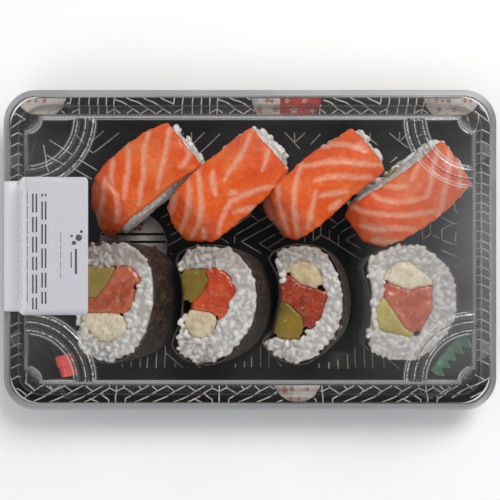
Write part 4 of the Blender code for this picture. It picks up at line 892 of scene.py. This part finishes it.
# Lines left of which a slice's end is folded over or turned away, and how much painted shade darkens it
# there.
CREASE_AND_SHADE_LINES = {1: [(-68.6, 37.0), (-68.2, 33.2), (-63.4, 27.4), (-58.6, 23.1), (-53.8, 19.8), (-50.0, 14.0)],
              3: [(9.6, 28.0), (12.4, 21.5), (14.2, 14.0), (19.0, 5.0)]}
PAINTED_SHADE_SHARE = {1: 0.12, 3: 0.7}


def merged_copy(node):
    """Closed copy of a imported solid, in millimetres."""
    bm = bmesh.new()
    bm.from_mesh(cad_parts[node].data)
    bmesh.ops.scale(bm, vec=(1.0 / MM, 1.0 / MM, 1.0 / MM), verts=bm.verts)
    bmesh.ops.remove_doubles(bm, verts=bm.verts, dist=0.005)
    return bm


def refined(bm, voxel):
    """The same form with rounded edges and an even fine mesh, ready for its surface to be worked."""
    mesh = bpy.data.meshes.new("work")
    bm.to_mesh(mesh)
    bm.free()
    work = bpy.data.objects.new("work", mesh)
    bpy.context.collection.objects.link(work)
    remesh = work.modifiers.new("remesh", "REMESH")
    remesh.mode = "VOXEL"
    remesh.voxel_size = voxel
    made = bmesh.new()
    made.from_object(work, bpy.context.evaluated_depsgraph_get())
    bpy.data.objects.remove(work)
    bpy.data.meshes.remove(mesh)
    return made


def even_out(bm, times, factor=0.5):
    """Smooths a mesh's surface a number of times."""
    for _ in range(times):
        bmesh.ops.smooth_vert(bm, verts=bm.verts, factor=factor, use_axis_x=True, use_axis_y=True,
                              use_axis_z=True)


def line_distance(lines, point):
    """Distance from the nearest line and the place along it from 0 to 1."""
    best, place = 1e9, 0.0
    for line in lines:
        for k, (a, b) in enumerate(zip(line, line[1:])):
            a, b = Vector(a), Vector(b)
            edge = b - a
            t = max(0.0, min(1.0, (point - a).dot(edge) / edge.length_squared))
            gap = (a + edge * t - point).length
            if gap < best:
                best, place = gap, (k + t) / (len(line) - 1)
    return best, place


# Raw salmon, knife cut: moist orange flesh in clouds, with soft pale fat and painted shade on the turned-away
# ends, and light sinks in a little.
salmon_flesh, tree, shader = new_material("raw_salmon_slice", {
    "Roughness": 0.42, "IOR": 1.38, "Coat Weight": 0.2, "Coat Roughness": 0.22, "Subsurface Weight": 0.12,
    "Subsurface Radius": (0.0025, 0.0009, 0.0005), "Subsurface Scale": 0.6})
place = add_node(tree, "ShaderNodeTexCoord").outputs["Object"]
fat = add_node(tree, "ShaderNodeAttribute", attribute_name="fat").outputs["Fac"]
cloud = add_node(tree, "ShaderNodeTexNoise", {"Vector": place, "Scale": 75.0, "Detail": 4.0,
                                              "Roughness": 0.6})
flesh = add_node(tree, "ShaderNodeValToRGB", {"Fac": cloud.outputs["Fac"]},
                 stops=[(0.28, "d04805"), (0.5, "dc550d"), (0.72, "df743a")])
fine = add_node(tree, "ShaderNodeTexNoise", {"Vector": place, "Scale": 650.0, "Detail": 3.0})
edge = add_node(tree, "ShaderNodeTexNoise", {"Vector": place, "Scale": 210.0, "Detail": 3.0}).outputs["Fac"]
wander = add_node(tree, "ShaderNodeMath", {0: edge, 1: 1.5, 2: fat}, operation="MULTIPLY_ADD").outputs[0]
band = add_node(tree, "ShaderNodeMapRange", {"Value": wander, "From Min": 1.15, "From Max": 2.75,
                                             "To Min": 0.74, "To Max": 0.0}).outputs["Result"]
pale = add_node(tree, "ShaderNodeMix", {0: band, 6: flesh.outputs["Color"], 7: colour("e3a083")},
                data_type="RGBA").outputs[2]
speck = add_node(tree, "ShaderNodeMapRange", {"Value": fine.outputs["Fac"], "From Min": 0.3, "From Max": 0.7,
                                              "To Min": 0.86, "To Max": 1.1}).outputs["Result"]
# Painted shade on the turned-away end of a slice.
painted_end_shade = add_node(tree, "ShaderNodeAttribute", attribute_name="painted_end_shade").outputs["Fac"]
end_shaded = add_node(tree, "ShaderNodeMix", {0: painted_end_shade, 6: pale, 7: colour("7c2c14")}, data_type="RGBA").outputs[2]
shade = add_node(tree, "ShaderNodeMix", {0: 1.0, 6: end_shaded, 7: speck}, data_type="RGBA",
                 blend_type="MULTIPLY").outputs[2]
bump = add_node(tree, "ShaderNodeBump", {"Height": fine.outputs["Fac"], "Strength": 0.35, "Distance": 0.0004})
tree.links.new(shade, shader.inputs["Base Color"])
tree.links.new(bump.outputs["Normal"], shader.inputs["Normal"])

slice_surface = {}
for index, lines in FAT_LINES.items():
    node = "nigiri_%d_salmon" % index
    bm = refined(merged_copy(node), SLICE_VOXEL)
    even_out(bm, 10)
    fat = bm.verts.layers.float.new("fat")
    painted_end_shade = bm.verts.layers.float.new("painted_end_shade")
    bm.normal_update()
    for vert in bm.verts:
        seen = vert.co.to_2d() * (EYE_TO_SLICES / (EYE_Z - vert.co.z))
        gap, place = line_distance(lines, seen)
        taper = 0.35 * (2.0 * place - 1.0) ** 4
        vert[fat] = min(6.0, gap + taper)
        groove = FAT_GROOVE * max(0.0, 1.0 - gap / FAT_REACH)
        crease = CREASE_AND_SHADE_LINES.get(index)
        if crease:
            gap, place = line_distance([crease], seen)
            k = min(int(place * (len(crease) - 1)), len(crease) - 2)
            edge = Vector(crease[k + 1]) - Vector(crease[k])
            left = edge.cross(seen - Vector(crease[k])) < 0.0
            # Painted shade left of the line.
            vert[painted_end_shade] = PAINTED_SHADE_SHARE[index] * min(1.0, gap / 0.8) if left else 0.0
            groove += CREASE_DEPTH * max(0.0, 1.0 - gap / CREASE_REACH)
        wave = SLICE_WAVE * noise.noise(vert.co * 0.22 + Vector((0.0, 0.0, 9.0 * index)))
        fibre = SLICE_FIBRE * noise.noise(vert.co * 1.1)
        edge = max(0.0, 1.0 - abs(vert.normal.z) / 0.8)
        front = SLICE_FRONT if vert.normal.x > 0.2 and vert.normal.y < 0.0 else 0.0
        coarse = noise.noise(vert.co * 0.3 + Vector((5.0 * index, 0.0, 0.0)))
        ragged = edge * (front + SLICE_RAGGED * (0.35 + coarse) + 0.3 * noise.noise(vert.co * 0.9))
        vert.co += vert.normal * (SLICE_SWELL + wave + fibre - groove + ragged)
        vert.co.z = max(vert.co.z, FOOD_FLOOR)
    slice_surface[index] = BVHTree.FromBMesh(bm)
    finish_piece("nigiri_%d_slice" % index, bm, [salmon_flesh], "salmon", [node])

# Rice. Short-grain sushi rice, cooked and pressed: moist grains about 5 mm long and 3 mm thick, stuck side by
# side into one mass. Grains are laid at random on what shows of each block and then fused.
GRAIN_LENGTH = 5.4
GRAIN_THICK = 3.0
GRAIN_SINK = 1.02
GRAIN_GAP = 2.15
SLAB = 4.0
RICE_SWELL = 0.16
# Painted shade on a roll's rice: how much darker it is at the front, and from where and over what run of Y it
# darkens towards the back.
BACK_SHADE_LEAST = 0.16
BACK_SHADE_FROM_Y = -15.0
BACK_SHADE_RUN = 14.0
NIGIRI_VOXEL = 0.44
NIGIRI_GRAINS = 700

# Cooked rice: moist, off-white and slightly see-through, with painted shade in the pits between grains and
# towards the back of the rolls.
rice_grain, tree, shader = new_material("cooked_sushi_rice", {
    "Roughness": 0.42, "IOR": 1.4, "Subsurface Weight": 0.6, "Subsurface Radius": (0.0026, 0.0023, 0.002),
    "Subsurface Scale": 1.0, "Coat Weight": 0.12, "Coat Roughness": 0.25})
place = add_node(tree, "ShaderNodeTexCoord").outputs["Object"]
tint = add_node(tree, "ShaderNodeTexVoronoi", {"Vector": place, "Scale": 330.0, "Randomness": 1.0})
stain = add_node(tree, "ShaderNodeTexNoise", {"Vector": place, "Scale": 70.0, "Detail": 3.0})
grey = add_node(tree, "ShaderNodeSeparateColor", {"Color": tint.outputs["Color"]}).outputs["Red"]
tone = add_node(tree, "ShaderNodeValToRGB", {"Fac": grey},
                stops=[(0.0, "d6d1ca"), (0.5, "e0dcd7"), (1.0, "e9e7e4")])
blush = add_node(tree, "ShaderNodeMapRange", {
    "Value": stain.outputs["Fac"], "From Min": 0.48, "From Max": 0.75, "To Min": 0.0,
    "To Max": 0.45}).outputs["Result"]
mixed = add_node(tree, "ShaderNodeMix", {0: blush, 6: tone.outputs["Color"], 7: colour("c3a995")},
                 data_type="RGBA").outputs[2]
# Painted shade in the pits between grains.
crevice_shade = add_node(tree, "ShaderNodeAttribute", attribute_name="crevice_shade").outputs["Fac"]
crevice_shaded = add_node(tree, "ShaderNodeMix", {0: crevice_shade, 6: mixed, 7: colour("a08b79")}, data_type="RGBA").outputs[2]
# Painted shade towards the back of each roll.
moist = add_node(tree, "ShaderNodeAttribute", attribute_name="moist").outputs["Fac"]
mixed = add_node(tree, "ShaderNodeMix", {0: moist, 6: crevice_shaded, 7: colour("7e7168")},
                 data_type="RGBA").outputs[2]
fine = add_node(tree, "ShaderNodeTexNoise", {"Vector": place, "Scale": 1500.0, "Detail": 2.0})
bump = add_node(tree, "ShaderNodeBump", {"Height": fine.outputs["Fac"], "Strength": 0.2, "Distance": 0.0002})
tree.links.new(mixed, shader.inputs["Base Color"])
tree.links.new(bump.outputs["Normal"], shader.inputs["Normal"])

bm = bmesh.new()
bmesh.ops.create_uvsphere(bm, u_segments=7, v_segments=5, radius=1.0)
grain_mesh = bpy.data.meshes.new("grain")
bm.to_mesh(grain_mesh)
bm.free()


def add_grain(bm, spot, normal, rng):
    """One plump grain lying on a surface, tilted a little out of it."""
    flat = normal.orthogonal().normalized()
    turn = Matrix.Rotation(rng.uniform(0.0, 2.0 * math.pi), 4, normal)
    along = (turn @ flat + normal * rng.uniform(-0.2, 0.2)).normalized()
    across = normal.cross(along).normalized()
    basis = Matrix((across, along.cross(across), along)).transposed().to_4x4()
    shape = Matrix.Diagonal((0.5 * GRAIN_THICK * rng.uniform(0.85, 1.15),
                             0.5 * GRAIN_THICK * rng.uniform(0.8, 1.1),
                             0.5 * GRAIN_LENGTH * rng.uniform(0.75, 1.1), 1.0))
    place = Matrix.Translation(spot) @ basis @ shape
    grain_mesh.transform(place)
    bm.from_mesh(grain_mesh)
    grain_mesh.transform(place.inverted())


def scatter_grains(core, count, keep, rng):
    """Places grains over the faces of a core by area, where keep says so and none is too near."""
    faces = [f for f in core.faces if keep(f.calc_center_median(), f.normal)]
    areas = [f.calc_area() for f in faces]
    spots = []
    cells = {}
    for face in rng.choices(faces, weights=areas, k=count * 6):
        corners = [v.co for v in face.verts]
        a, b = rng.random(), rng.random()
        if a + b > 1.0:
            a, b = 1.0 - a, 1.0 - b
        spot = corners[0] + (corners[1] - corners[0]) * a + (corners[2] - corners[0]) * b
        if not keep(spot, face.normal):
            continue
        key = tuple(int(c // GRAIN_GAP) for c in spot)
        near = (p for dx in (-1, 0, 1) for dy in (-1, 0, 1) for dz in (-1, 0, 1)
                for p in cells.get((key[0] + dx, key[1] + dy, key[2] + dz), ()))
        if any((p - spot).length < GRAIN_GAP for p in near):
            continue
        cells.setdefault(key, []).append(spot)
        spots.append((spot, face.normal.copy()))
        if len(spots) >= count:
            break
    return spots


def rice_piece(name, node, keep, count, seed, voxel, spread=None, room=None, slab=None, loose=(),
               darkest_back=0.0):
    """Rice of one block: its core, the grains that show on it, grains that spread below and single loose
    grains, fused down to a slab's depth; the last argument says how much painted shade darkens the rice
    towards the back."""
    rng = random.Random(seed)
    core = merged_copy(node)
    bmesh.ops.triangulate(core, faces=core.faces)
    core.normal_update()
    spots = scatter_grains(core, count, keep, rng)
    surface = BVHTree.FromBMesh(core)
    rest = None
    if slab:
        rest = core.copy()
        top = max(v.co.z for v in core.verts)
        bmesh.ops.bisect_plane(core, geom=core.verts[:] + core.edges[:] + core.faces[:],
                               plane_co=(0.0, 0.0, top - slab), plane_no=UP, clear_inner=True)
        bmesh.ops.holes_fill(core, edges=[e for e in core.edges if e.is_boundary], sides=0)
        for vert in rest.verts:
            vert.co -= vert.normal * 0.25
        for vert in core.verts:
            vert.co.xy += vert.normal.xy * RICE_SWELL
    for spot, normal in spots:
        sink = GRAIN_SINK * rng.uniform(0.7, 1.2)
        if room and normal.z < 0.4:
            free = room(spot)
            sink = 0.3 if free > 1.2 else max(sink, 0.5 * GRAIN_THICK - 0.8 * free)
        add_grain(core, spot - normal * sink, normal, rng)
        if spread and spread(spot, normal):
            add_grain(core, spot + normal * (rng.uniform(0.6, 1.8) if normal.y > 0.0 else 0.1), normal, rng)
    for spot in loose:
        add_grain(core, Vector(spot), UP, rng)
    fused = refined(core, voxel)
    even_out(fused, 2)
    if rest:
        join_into(fused, rest)
    crevice_shade = fused.verts.layers.float.new("crevice_shade")
    moist = fused.verts.layers.float.new("moist")
    for vert in fused.verts:
        vert.co.z = max(vert.co.z, FOOD_FLOOR)
        near, normal, _, _ = surface.find_nearest(vert.co)
        # Painted shade where the surface sinks between grains.
        vert[crevice_shade] = 0.4 * min(1.0, max(0.0, 1.0 - (vert.co - near).dot(normal) / 0.2))
        # Painted shade, darker towards the back.
        back = min(1.0, max(0.0, (vert.co.y - BACK_SHADE_FROM_Y) / BACK_SHADE_RUN))
        vert[moist] = BACK_SHADE_LEAST + (darkest_back - BACK_SHADE_LEAST) * back if darkest_back else 0.0
    return finish_piece(name, fused, [rice_grain], "rice", [node])


for index in FAT_LINES:
    slice_over = slice_surface[index]

    def shows(spot, normal, slice_over=slice_over):
        """Rice that isn't under the slice or on the tray's floor."""
        if normal.z < -0.5:
            return False
        above = slice_over.ray_cast(spot, UP)
        return above[0] is None or above[3] > 3.2 or normal.z < 0.35

    def crumbles(spot, normal, index=index):
        """Below the slice's lower edge, and low on the sides that face back, the rice has spread in lumps."""
        if normal.y < -0.3 and normal.x > 0.2:
            return spot.z > 12.0
        lump = noise.noise(spot * 0.12 + Vector((0.0, 0.0, index)))
        return normal.y > 0.3 and spot.z < 15.0 and lump > -0.05

    rice_piece("nigiri_%d_rice_grains" % index, "nigiri_%d_rice" % index, shows, NIGIRI_GRAINS, 100 + index,
               NIGIRI_VOXEL, spread=crumbles)

# Wasabi. A thin smear of green horseradish paste pressed out between the fourth slice and its rice.
WASABI_SPOTS = [(67.0, 35.6, 1.7), (69.1, 37.4, 2.0), (71.4, 39.0, 1.6), (68.0, 35.9, 1.3), (70.3, 37.6, 1.4)]
WASABI_THICK = 0.5
WASABI_VOXEL = 0.22

# Horseradish paste: dull yellow green, mottled, and light sinks in a little.
wasabi, tree, shader = new_material("wasabi_paste", {
    "Roughness": 0.5, "IOR": 1.4, "Subsurface Weight": 0.15, "Subsurface Radius": (0.001, 0.001, 0.0004)})
place = add_node(tree, "ShaderNodeTexCoord").outputs["Object"]
cloud = add_node(tree, "ShaderNodeTexNoise", {"Vector": place, "Scale": 500.0, "Detail": 3.0})
tone = add_node(tree, "ShaderNodeValToRGB", {"Fac": cloud.outputs["Fac"]},
                stops=[(0.35, "6f6a2e"), (0.5, "878040"), (0.68, "9c9656")])
tree.links.new(tone.outputs["Color"], shader.inputs["Base Color"])
under = BVHTree.FromBMesh(merged_copy("nigiri_4_rice"))
bm = bmesh.new()
for x, y, radius in WASABI_SPOTS:
    top = under.ray_cast(Vector((x, y, 48.0)), DOWN)[0]
    if top:
        dab = Matrix.Translation((x, y, top.z + 0.4)) @ Matrix.Diagonal((radius, radius, WASABI_THICK, 1.0))
        bmesh.ops.create_icosphere(bm, subdivisions=3, radius=1.0, matrix=dab)
bm = refined(bm, WASABI_VOXEL)
for vert in bm.verts:
    vert.co += vert.normal * 0.35 * noise.noise(vert.co * 0.9)
finish_piece("wasabi_smear", bm, [wasabi], "rice")

# Rolls. Thick rolls standing on their ends: a sheet of roasted seaweed round a bed of rice, with avocado, raw
# salmon and cream cheese in the middle, cut square across the top.
ROLL_COUNT = 4
ROLL_VOXEL = 0.34
ROLL_GRAINS = 460
FILLING_SWELL = 0.33
FILLING_REACH = 2.4
FILLING_RAGGED = 0.55
FILLING_OVERLAP = 0.14
FILLING_VOXEL = 0.55
# How deep the seaweed's rim is pressed down on the left of each roll, and by what share of that depth.
NORI_SUNK = 4.2
NORI_SHARE = 0.9
NORI_WAVE = 0.35
NORI_WAVE_FROM = 12.0
NORI_VOXEL = 0.37
# How much painted shade darkens each roll's rice towards the back.
ROLL_BACK_SHADE = {1: 0.62, 2: 0.62, 3: 0.68, 4: 0.3}
# Loose grains that lie on the fillings of a roll.
LOOSE_GRAINS = {1: ((-63.2, -37.4, 28.2), (-57.2, -12.6, 28.2))}

# Roasted seaweed, pressed like paper: blotched brown black, fibrous, with a faint gloss.
nori_sheet, tree, shader = new_material("roasted_nori", {
    "Roughness": 0.5, "Sheen Weight": 0.1, "Sheen Roughness": 0.4, "Coat Weight": 0.1,
    "Coat Roughness": 0.35})
place = add_node(tree, "ShaderNodeTexCoord").outputs["Object"]
turned = add_node(tree, "ShaderNodeMapping", {"Vector": place, "Scale": (1.0, 1.0, 0.35)}).outputs["Vector"]
blotch = add_node(tree, "ShaderNodeTexNoise", {"Vector": turned, "Scale": 420.0, "Detail": 5.0,
                                               "Roughness": 0.65})
tone = add_node(tree, "ShaderNodeValToRGB", {"Fac": blotch.outputs["Fac"]},
                stops=[(0.3, "0d0704"), (0.5, "2e2016"), (0.7, "65492f")])
bump = add_node(tree, "ShaderNodeBump", {"Height": blotch.outputs["Fac"], "Strength": 0.7,
                                         "Distance": 0.0005})
tree.links.new(tone.outputs["Color"], shader.inputs["Base Color"])
tree.links.new(bump.outputs["Normal"], shader.inputs["Normal"])


def cut_food(name, tones, scale, roughness, coat, bump_mm, radius, vein, vein_share, spot, spot_share):
    """Soft food cut with a knife: clouded colour with thin veins and a few spots, a fine wet grain and light
    that sinks in a little."""
    made, tree, shader = new_material(name, {
        "Roughness": roughness, "IOR": 1.4, "Coat Weight": coat, "Coat Roughness": 0.18,
        "Subsurface Weight": 0.15, "Subsurface Radius": radius, "Subsurface Scale": 0.7})
    place = add_node(tree, "ShaderNodeTexCoord").outputs["Object"]
    cloud = add_node(tree, "ShaderNodeTexNoise", {"Vector": place, "Scale": scale, "Detail": 5.0,
                                                  "Roughness": 0.6})
    tone = add_node(tree, "ShaderNodeValToRGB", {"Fac": cloud.outputs["Fac"]},
                    stops=zip((0.3, 0.5, 0.7), tones))
    strand = add_node(tree, "ShaderNodeTexNoise", {"Vector": place, "Scale": 150.0, "Detail": 2.0,
                                                   "Distortion": 1.2})
    away = add_node(tree, "ShaderNodeMath", {0: strand.outputs["Fac"], 1: 0.5},
                    operation="SUBTRACT").outputs[0]
    near = add_node(tree, "ShaderNodeMath", {0: away}, operation="ABSOLUTE").outputs[0]
    line = add_node(tree, "ShaderNodeMapRange", {"Value": near, "From Min": 0.006, "From Max": 0.035,
                                                 "To Min": vein_share, "To Max": 0.0}).outputs["Result"]
    veined = add_node(tree, "ShaderNodeMix", {0: line, 6: tone.outputs["Color"], 7: colour(vein)},
                      data_type="RGBA").outputs[2]
    dots = add_node(tree, "ShaderNodeTexNoise", {"Vector": place, "Scale": 310.0, "Detail": 2.0})
    dot = add_node(tree, "ShaderNodeMapRange", {
        "Value": dots.outputs["Fac"], "From Min": 0.62, "From Max": 0.7, "To Min": 0.0,
        "To Max": spot_share}).outputs["Result"]
    mixed = add_node(tree, "ShaderNodeMix", {0: dot, 6: veined, 7: colour(spot)}, data_type="RGBA").outputs[2]
    fine = add_node(tree, "ShaderNodeTexNoise", {"Vector": place, "Scale": 1000.0, "Detail": 3.0})
    bump = add_node(tree, "ShaderNodeBump", {"Height": fine.outputs["Fac"], "Strength": 0.4,
                                             "Distance": bump_mm * MM})
    tree.links.new(mixed, shader.inputs["Base Color"])
    tree.links.new(bump.outputs["Normal"], shader.inputs["Normal"])
    return made


RAW_TONES = {1: ("9a4128", "ae5333", "c3765a"), 2: ("9b2805", "b53808", "cb551f"),
             3: ("701804", "8e2a09", "a63e16"), 4: ("a03a22", "b24c28", "c8735a")}
AVOCADO_TONES = {1: ("7d7434", "96803c", "a68f4c"), 2: ("5a4d0c", "765f14", "8a7024"),
                 3: ("5a4b0c", "806614", "9e7822"), 4: ("95883f", "b09f58", "bfae6c")}
CHEESE_TONES = {1: ("c2b297", "d2c5ac", "dfd7c2"), 2: ("b5a382", "c6b699", "d5c9b0"),
                3: ("ab9674", "bfab89", "cebf9f"), 4: ("c8ba9d", "d8ccb4", "e4dcc8")}
# Fillings: node's last word, slot, tones, roughness, coat, scale, bump, how far red, green and blue light
# sink in, lumps and fibres in mm, then the veins' colour and share and the spots' colour and share.
FILLINGS = [("salmon", "raw", RAW_TONES, 0.3, 0.35, 110.0, 0.35, (0.0025, 0.0009, 0.0005), (0.7, 0.3),
             ("d68a70", 0.14, "dda48e", 0.3)),
            ("avocado", "avocado", AVOCADO_TONES, 0.45, 0.1, 60.0, 0.2, (0.001, 0.001, 0.0004), (0.3, 0.15),
             ("6f6a22", 0.25, "c0ac5a", 0.3)),
            ("cheese", "cheese", CHEESE_TONES, 0.5, 0.05, 160.0, 0.35, (0.0016, 0.0013, 0.0008), (0.8, 0.35),
             ("a8966a", 0.3, "a59a45", 0.45))]

for index in range(1, ROLL_COUNT + 1):
    solids = {food: BVHTree.FromBMesh(merged_copy("roll_%d_%s" % (index, food)))
              for food in ("rice", "nori", "salmon", "avocado", "cheese")}
    neighbours = [solids[food] for food in ("nori", "salmon", "avocado", "cheese")]
    node = "roll_%d_nori" % index
    low, high = (Vector(corner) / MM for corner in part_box(node))
    middle = 0.5 * (low + high)
    bm = refined(merged_copy(node), NORI_VOXEL)
    even_out(bm, 2)
    bm.normal_update()
    for vert in bm.verts:
        wave = noise.noise(Vector((vert.co.x * 0.12, vert.co.y * 0.12, vert.co.z * 0.05 + 7.0 * index)))
        rise = NORI_WAVE * wave if vert.co.z > NORI_WAVE_FROM else 0.0
        out = (vert.co - middle).to_2d().normalized()
        if vert.co.z > high.z - NORI_SUNK:
            left = min(1.0, max(0.0, (0.4 - out.x) / 0.3))
            rise -= NORI_SHARE * (vert.co.z - high.z + NORI_SUNK) * left
        vert.co += vert.normal * (0.05 * noise.noise(vert.co * 0.8)) + Vector((0.0, 0.0, rise))
    finish_piece("%s_sheet" % node, bm, [nori_sheet], "nori", [node])

    for food, slot, tones, roughness, coat, scale, bump_mm, radius, (lump, fibre), marks in FILLINGS:
        node = "roll_%d_%s" % (index, food)
        made = cut_food("%s_%d" % (food, index), tones[index], scale, roughness, coat, bump_mm, radius,
                        *marks)
        bm = refined(merged_copy(node), FILLING_VOXEL)
        bm.normal_update()
        for vert in bm.verts:
            swell = lump * noise.noise(vert.co * 0.3 + Vector((3.0 * index, 0.0, 0.0)))
            ridge = fibre * noise.noise(vert.co * 1.2)
            ragged = FILLING_RAGGED * noise.noise(vert.co * 0.55 + Vector((0.0, 2.0 * index, 0.0)))
            if vert.normal.z > 0.5:
                vert.co += vert.normal * (FILLING_SWELL + swell + ridge)
                continue
            flat = Vector((vert.normal.x, vert.normal.y, 0.0)).normalized()
            reach = FILLING_SWELL + 0.4 * ridge + ragged
            for other, solid in solids.items():
                gap = solid.ray_cast(vert.co, flat, FILLING_REACH)[3]
                if other != food and gap is not None:
                    filling = other in ("salmon", "avocado", "cheese")
                    reach = 0.5 * gap + FILLING_OVERLAP if filling else gap
            vert.co += vert.normal * reach
        even_out(bm, 1, factor=0.4)
        finish_piece("%s_piece" % node, bm, [made], slot, [node])

    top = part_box("roll_%d_rice" % index)[1][2] / MM

    def room(spot, neighbours=tuple(neighbours), middle=middle):
        """Free distance to the nearest filling or, where its rim stands level, to the seaweed."""
        level = (spot - middle).to_2d().normalized().x > 0.1
        return min(tree.find_nearest(spot)[3] for tree in (neighbours if level else neighbours[1:]))

    def on_top(spot, normal, neighbours=tuple(neighbours), top=top, middle=middle):
        """Rice on the cut face, and just below it where there is room beside the fillings and the seaweed."""
        if normal.z > 0.4:
            return room(spot) > 0.8 or neighbours[0].find_nearest(spot)[3] > 0.8
        least = 0.3 if neighbours[0].find_nearest(spot)[3] > 0.75 else 1.2
        return spot.z > top - 3.0 and room(spot) > least

    rice_piece("roll_%d_rice_grains" % index, "roll_%d_rice" % index, on_top, ROLL_GRAINS, 200 + index,
               ROLL_VOXEL, room=room, slab=SLAB, loose=LOOSE_GRAINS.get(index, ()), darkest_back=ROLL_BACK_SHADE[index])

# Sauce cap. Small screw cap of a sauce bottle, red polyethylene, turned on its side in the front left corner,
# with fine grip ribs round the wide half.
CAP_PROFILE = [(-5.5, 3.5), (-5.4, 4.2), (-5.0, 4.6), (-0.6, 4.7), (-0.1, 4.55), (0.3, 4.1), (4.8, 3.95),
               (5.3, 3.7), (5.5, 3.1)]
CAP_CENTRE = (-90.0, -56.6)
CAP_TILT = 13.0
CAP_SEGMENTS = 72
CAP_GROOVE = 0.955
CAP_SOFTNESS = 0.12

# Red polyethylene, moulded: glossy, with a cast of orange where it is thin.
cap_plastic, tree, shader = new_material("red_polyethylene", {"Roughness": 0.3, "IOR": 1.51})
place = add_node(tree, "ShaderNodeTexCoord").outputs["Object"]
cloud = add_node(tree, "ShaderNodeTexNoise", {"Vector": place, "Scale": 160.0, "Detail": 2.0})
tone = add_node(tree, "ShaderNodeValToRGB", {"Fac": cloud.outputs["Fac"]},
                stops=[(0.35, "dc443e"), (0.6, "e45a52"), (0.72, "e6965c")])
tree.links.new(tone.outputs["Color"], shader.inputs["Base Color"])
bm = bmesh.new()
line = bmesh.ops.create_grid(bm, x_segments=len(CAP_PROFILE) - 1, y_segments=1, size=0.5)["verts"]
bmesh.ops.delete(bm, geom=[v for v in line if v.co.y > 0.0], context="VERTS")
line = sorted((v for v in line if v.is_valid), key=lambda v: v.co.x)
for vert, (along, radius) in zip(line, CAP_PROFILE):
    vert.co = Vector((radius, 0.0, along))
bmesh.ops.spin(bm, geom=line + bm.edges[:], cent=(0.0, 0.0, 0.0), axis=UP, angle=2.0 * math.pi,
               steps=CAP_SEGMENTS, use_merge=True)
bmesh.ops.remove_doubles(bm, verts=bm.verts, dist=0.01)
ends = [e for e in bm.edges if e.is_boundary]
bmesh.ops.holes_fill(bm, edges=ends, sides=0)
for vert in bm.verts:
    if -5.2 < vert.co.z < -0.3:
        rib = round(math.atan2(vert.co.y, vert.co.x) / (2.0 * math.pi) * CAP_SEGMENTS) % 3
        vert.co.xy *= CAP_GROOVE if rib == 0 else 1.0
bmesh.ops.recalc_face_normals(bm, faces=bm.faces)
low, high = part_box("sauce_cap")
turn = math.radians(CAP_TILT)
axis = Vector((math.sin(turn), -math.cos(turn), 0.0))
basis = Matrix((UP.cross(axis), UP, axis)).transposed().to_4x4()
centre = Matrix.Translation((CAP_CENTRE[0], CAP_CENTRE[1], 0.5 * (low[2] + high[2]) / MM))
bmesh.ops.transform(bm, matrix=centre @ basis, verts=bm.verts)
cap = finish_piece("sauce_cap_shell", bm, [cap_plastic], "cap", ["sauce_cap"])
bevel = cap.modifiers.new("soft_edges", "BEVEL")
bevel.width = CAP_SOFTNESS * MM
bevel.segments = 2
bevel.limit_method = "ANGLE"

# Grass leaf. A strip of thin green plastic film, stamped with a toothed edge, that leans in the front right
# corner. The film is glossy and a little uneven in colour.
LEAF_RIPPLE = 0.18

leaf_film, tree, shader = new_material("green_plastic_film", {"Roughness": 0.3, "IOR": 1.5})
place = add_node(tree, "ShaderNodeTexCoord").outputs["Object"]
cloud = add_node(tree, "ShaderNodeTexNoise", {"Vector": place, "Scale": 220.0, "Detail": 3.0})
tone = add_node(tree, "ShaderNodeValToRGB", {"Fac": cloud.outputs["Fac"]},
                stops=[(0.3, "34694a"), (0.7, "4d8464")])
tree.links.new(tone.outputs["Color"], shader.inputs["Base Color"])
bm = merged_copy("grass_leaf")
bmesh.ops.subdivide_edges(bm, edges=bm.edges, cuts=2, use_grid_fill=True)
for vert in bm.verts:
    vert.co.z += LEAF_RIPPLE * noise.noise(vert.co * 0.9)
finish_piece("grass_leaf_film", bm, [leaf_film], "leaf", ["grass_leaf"])
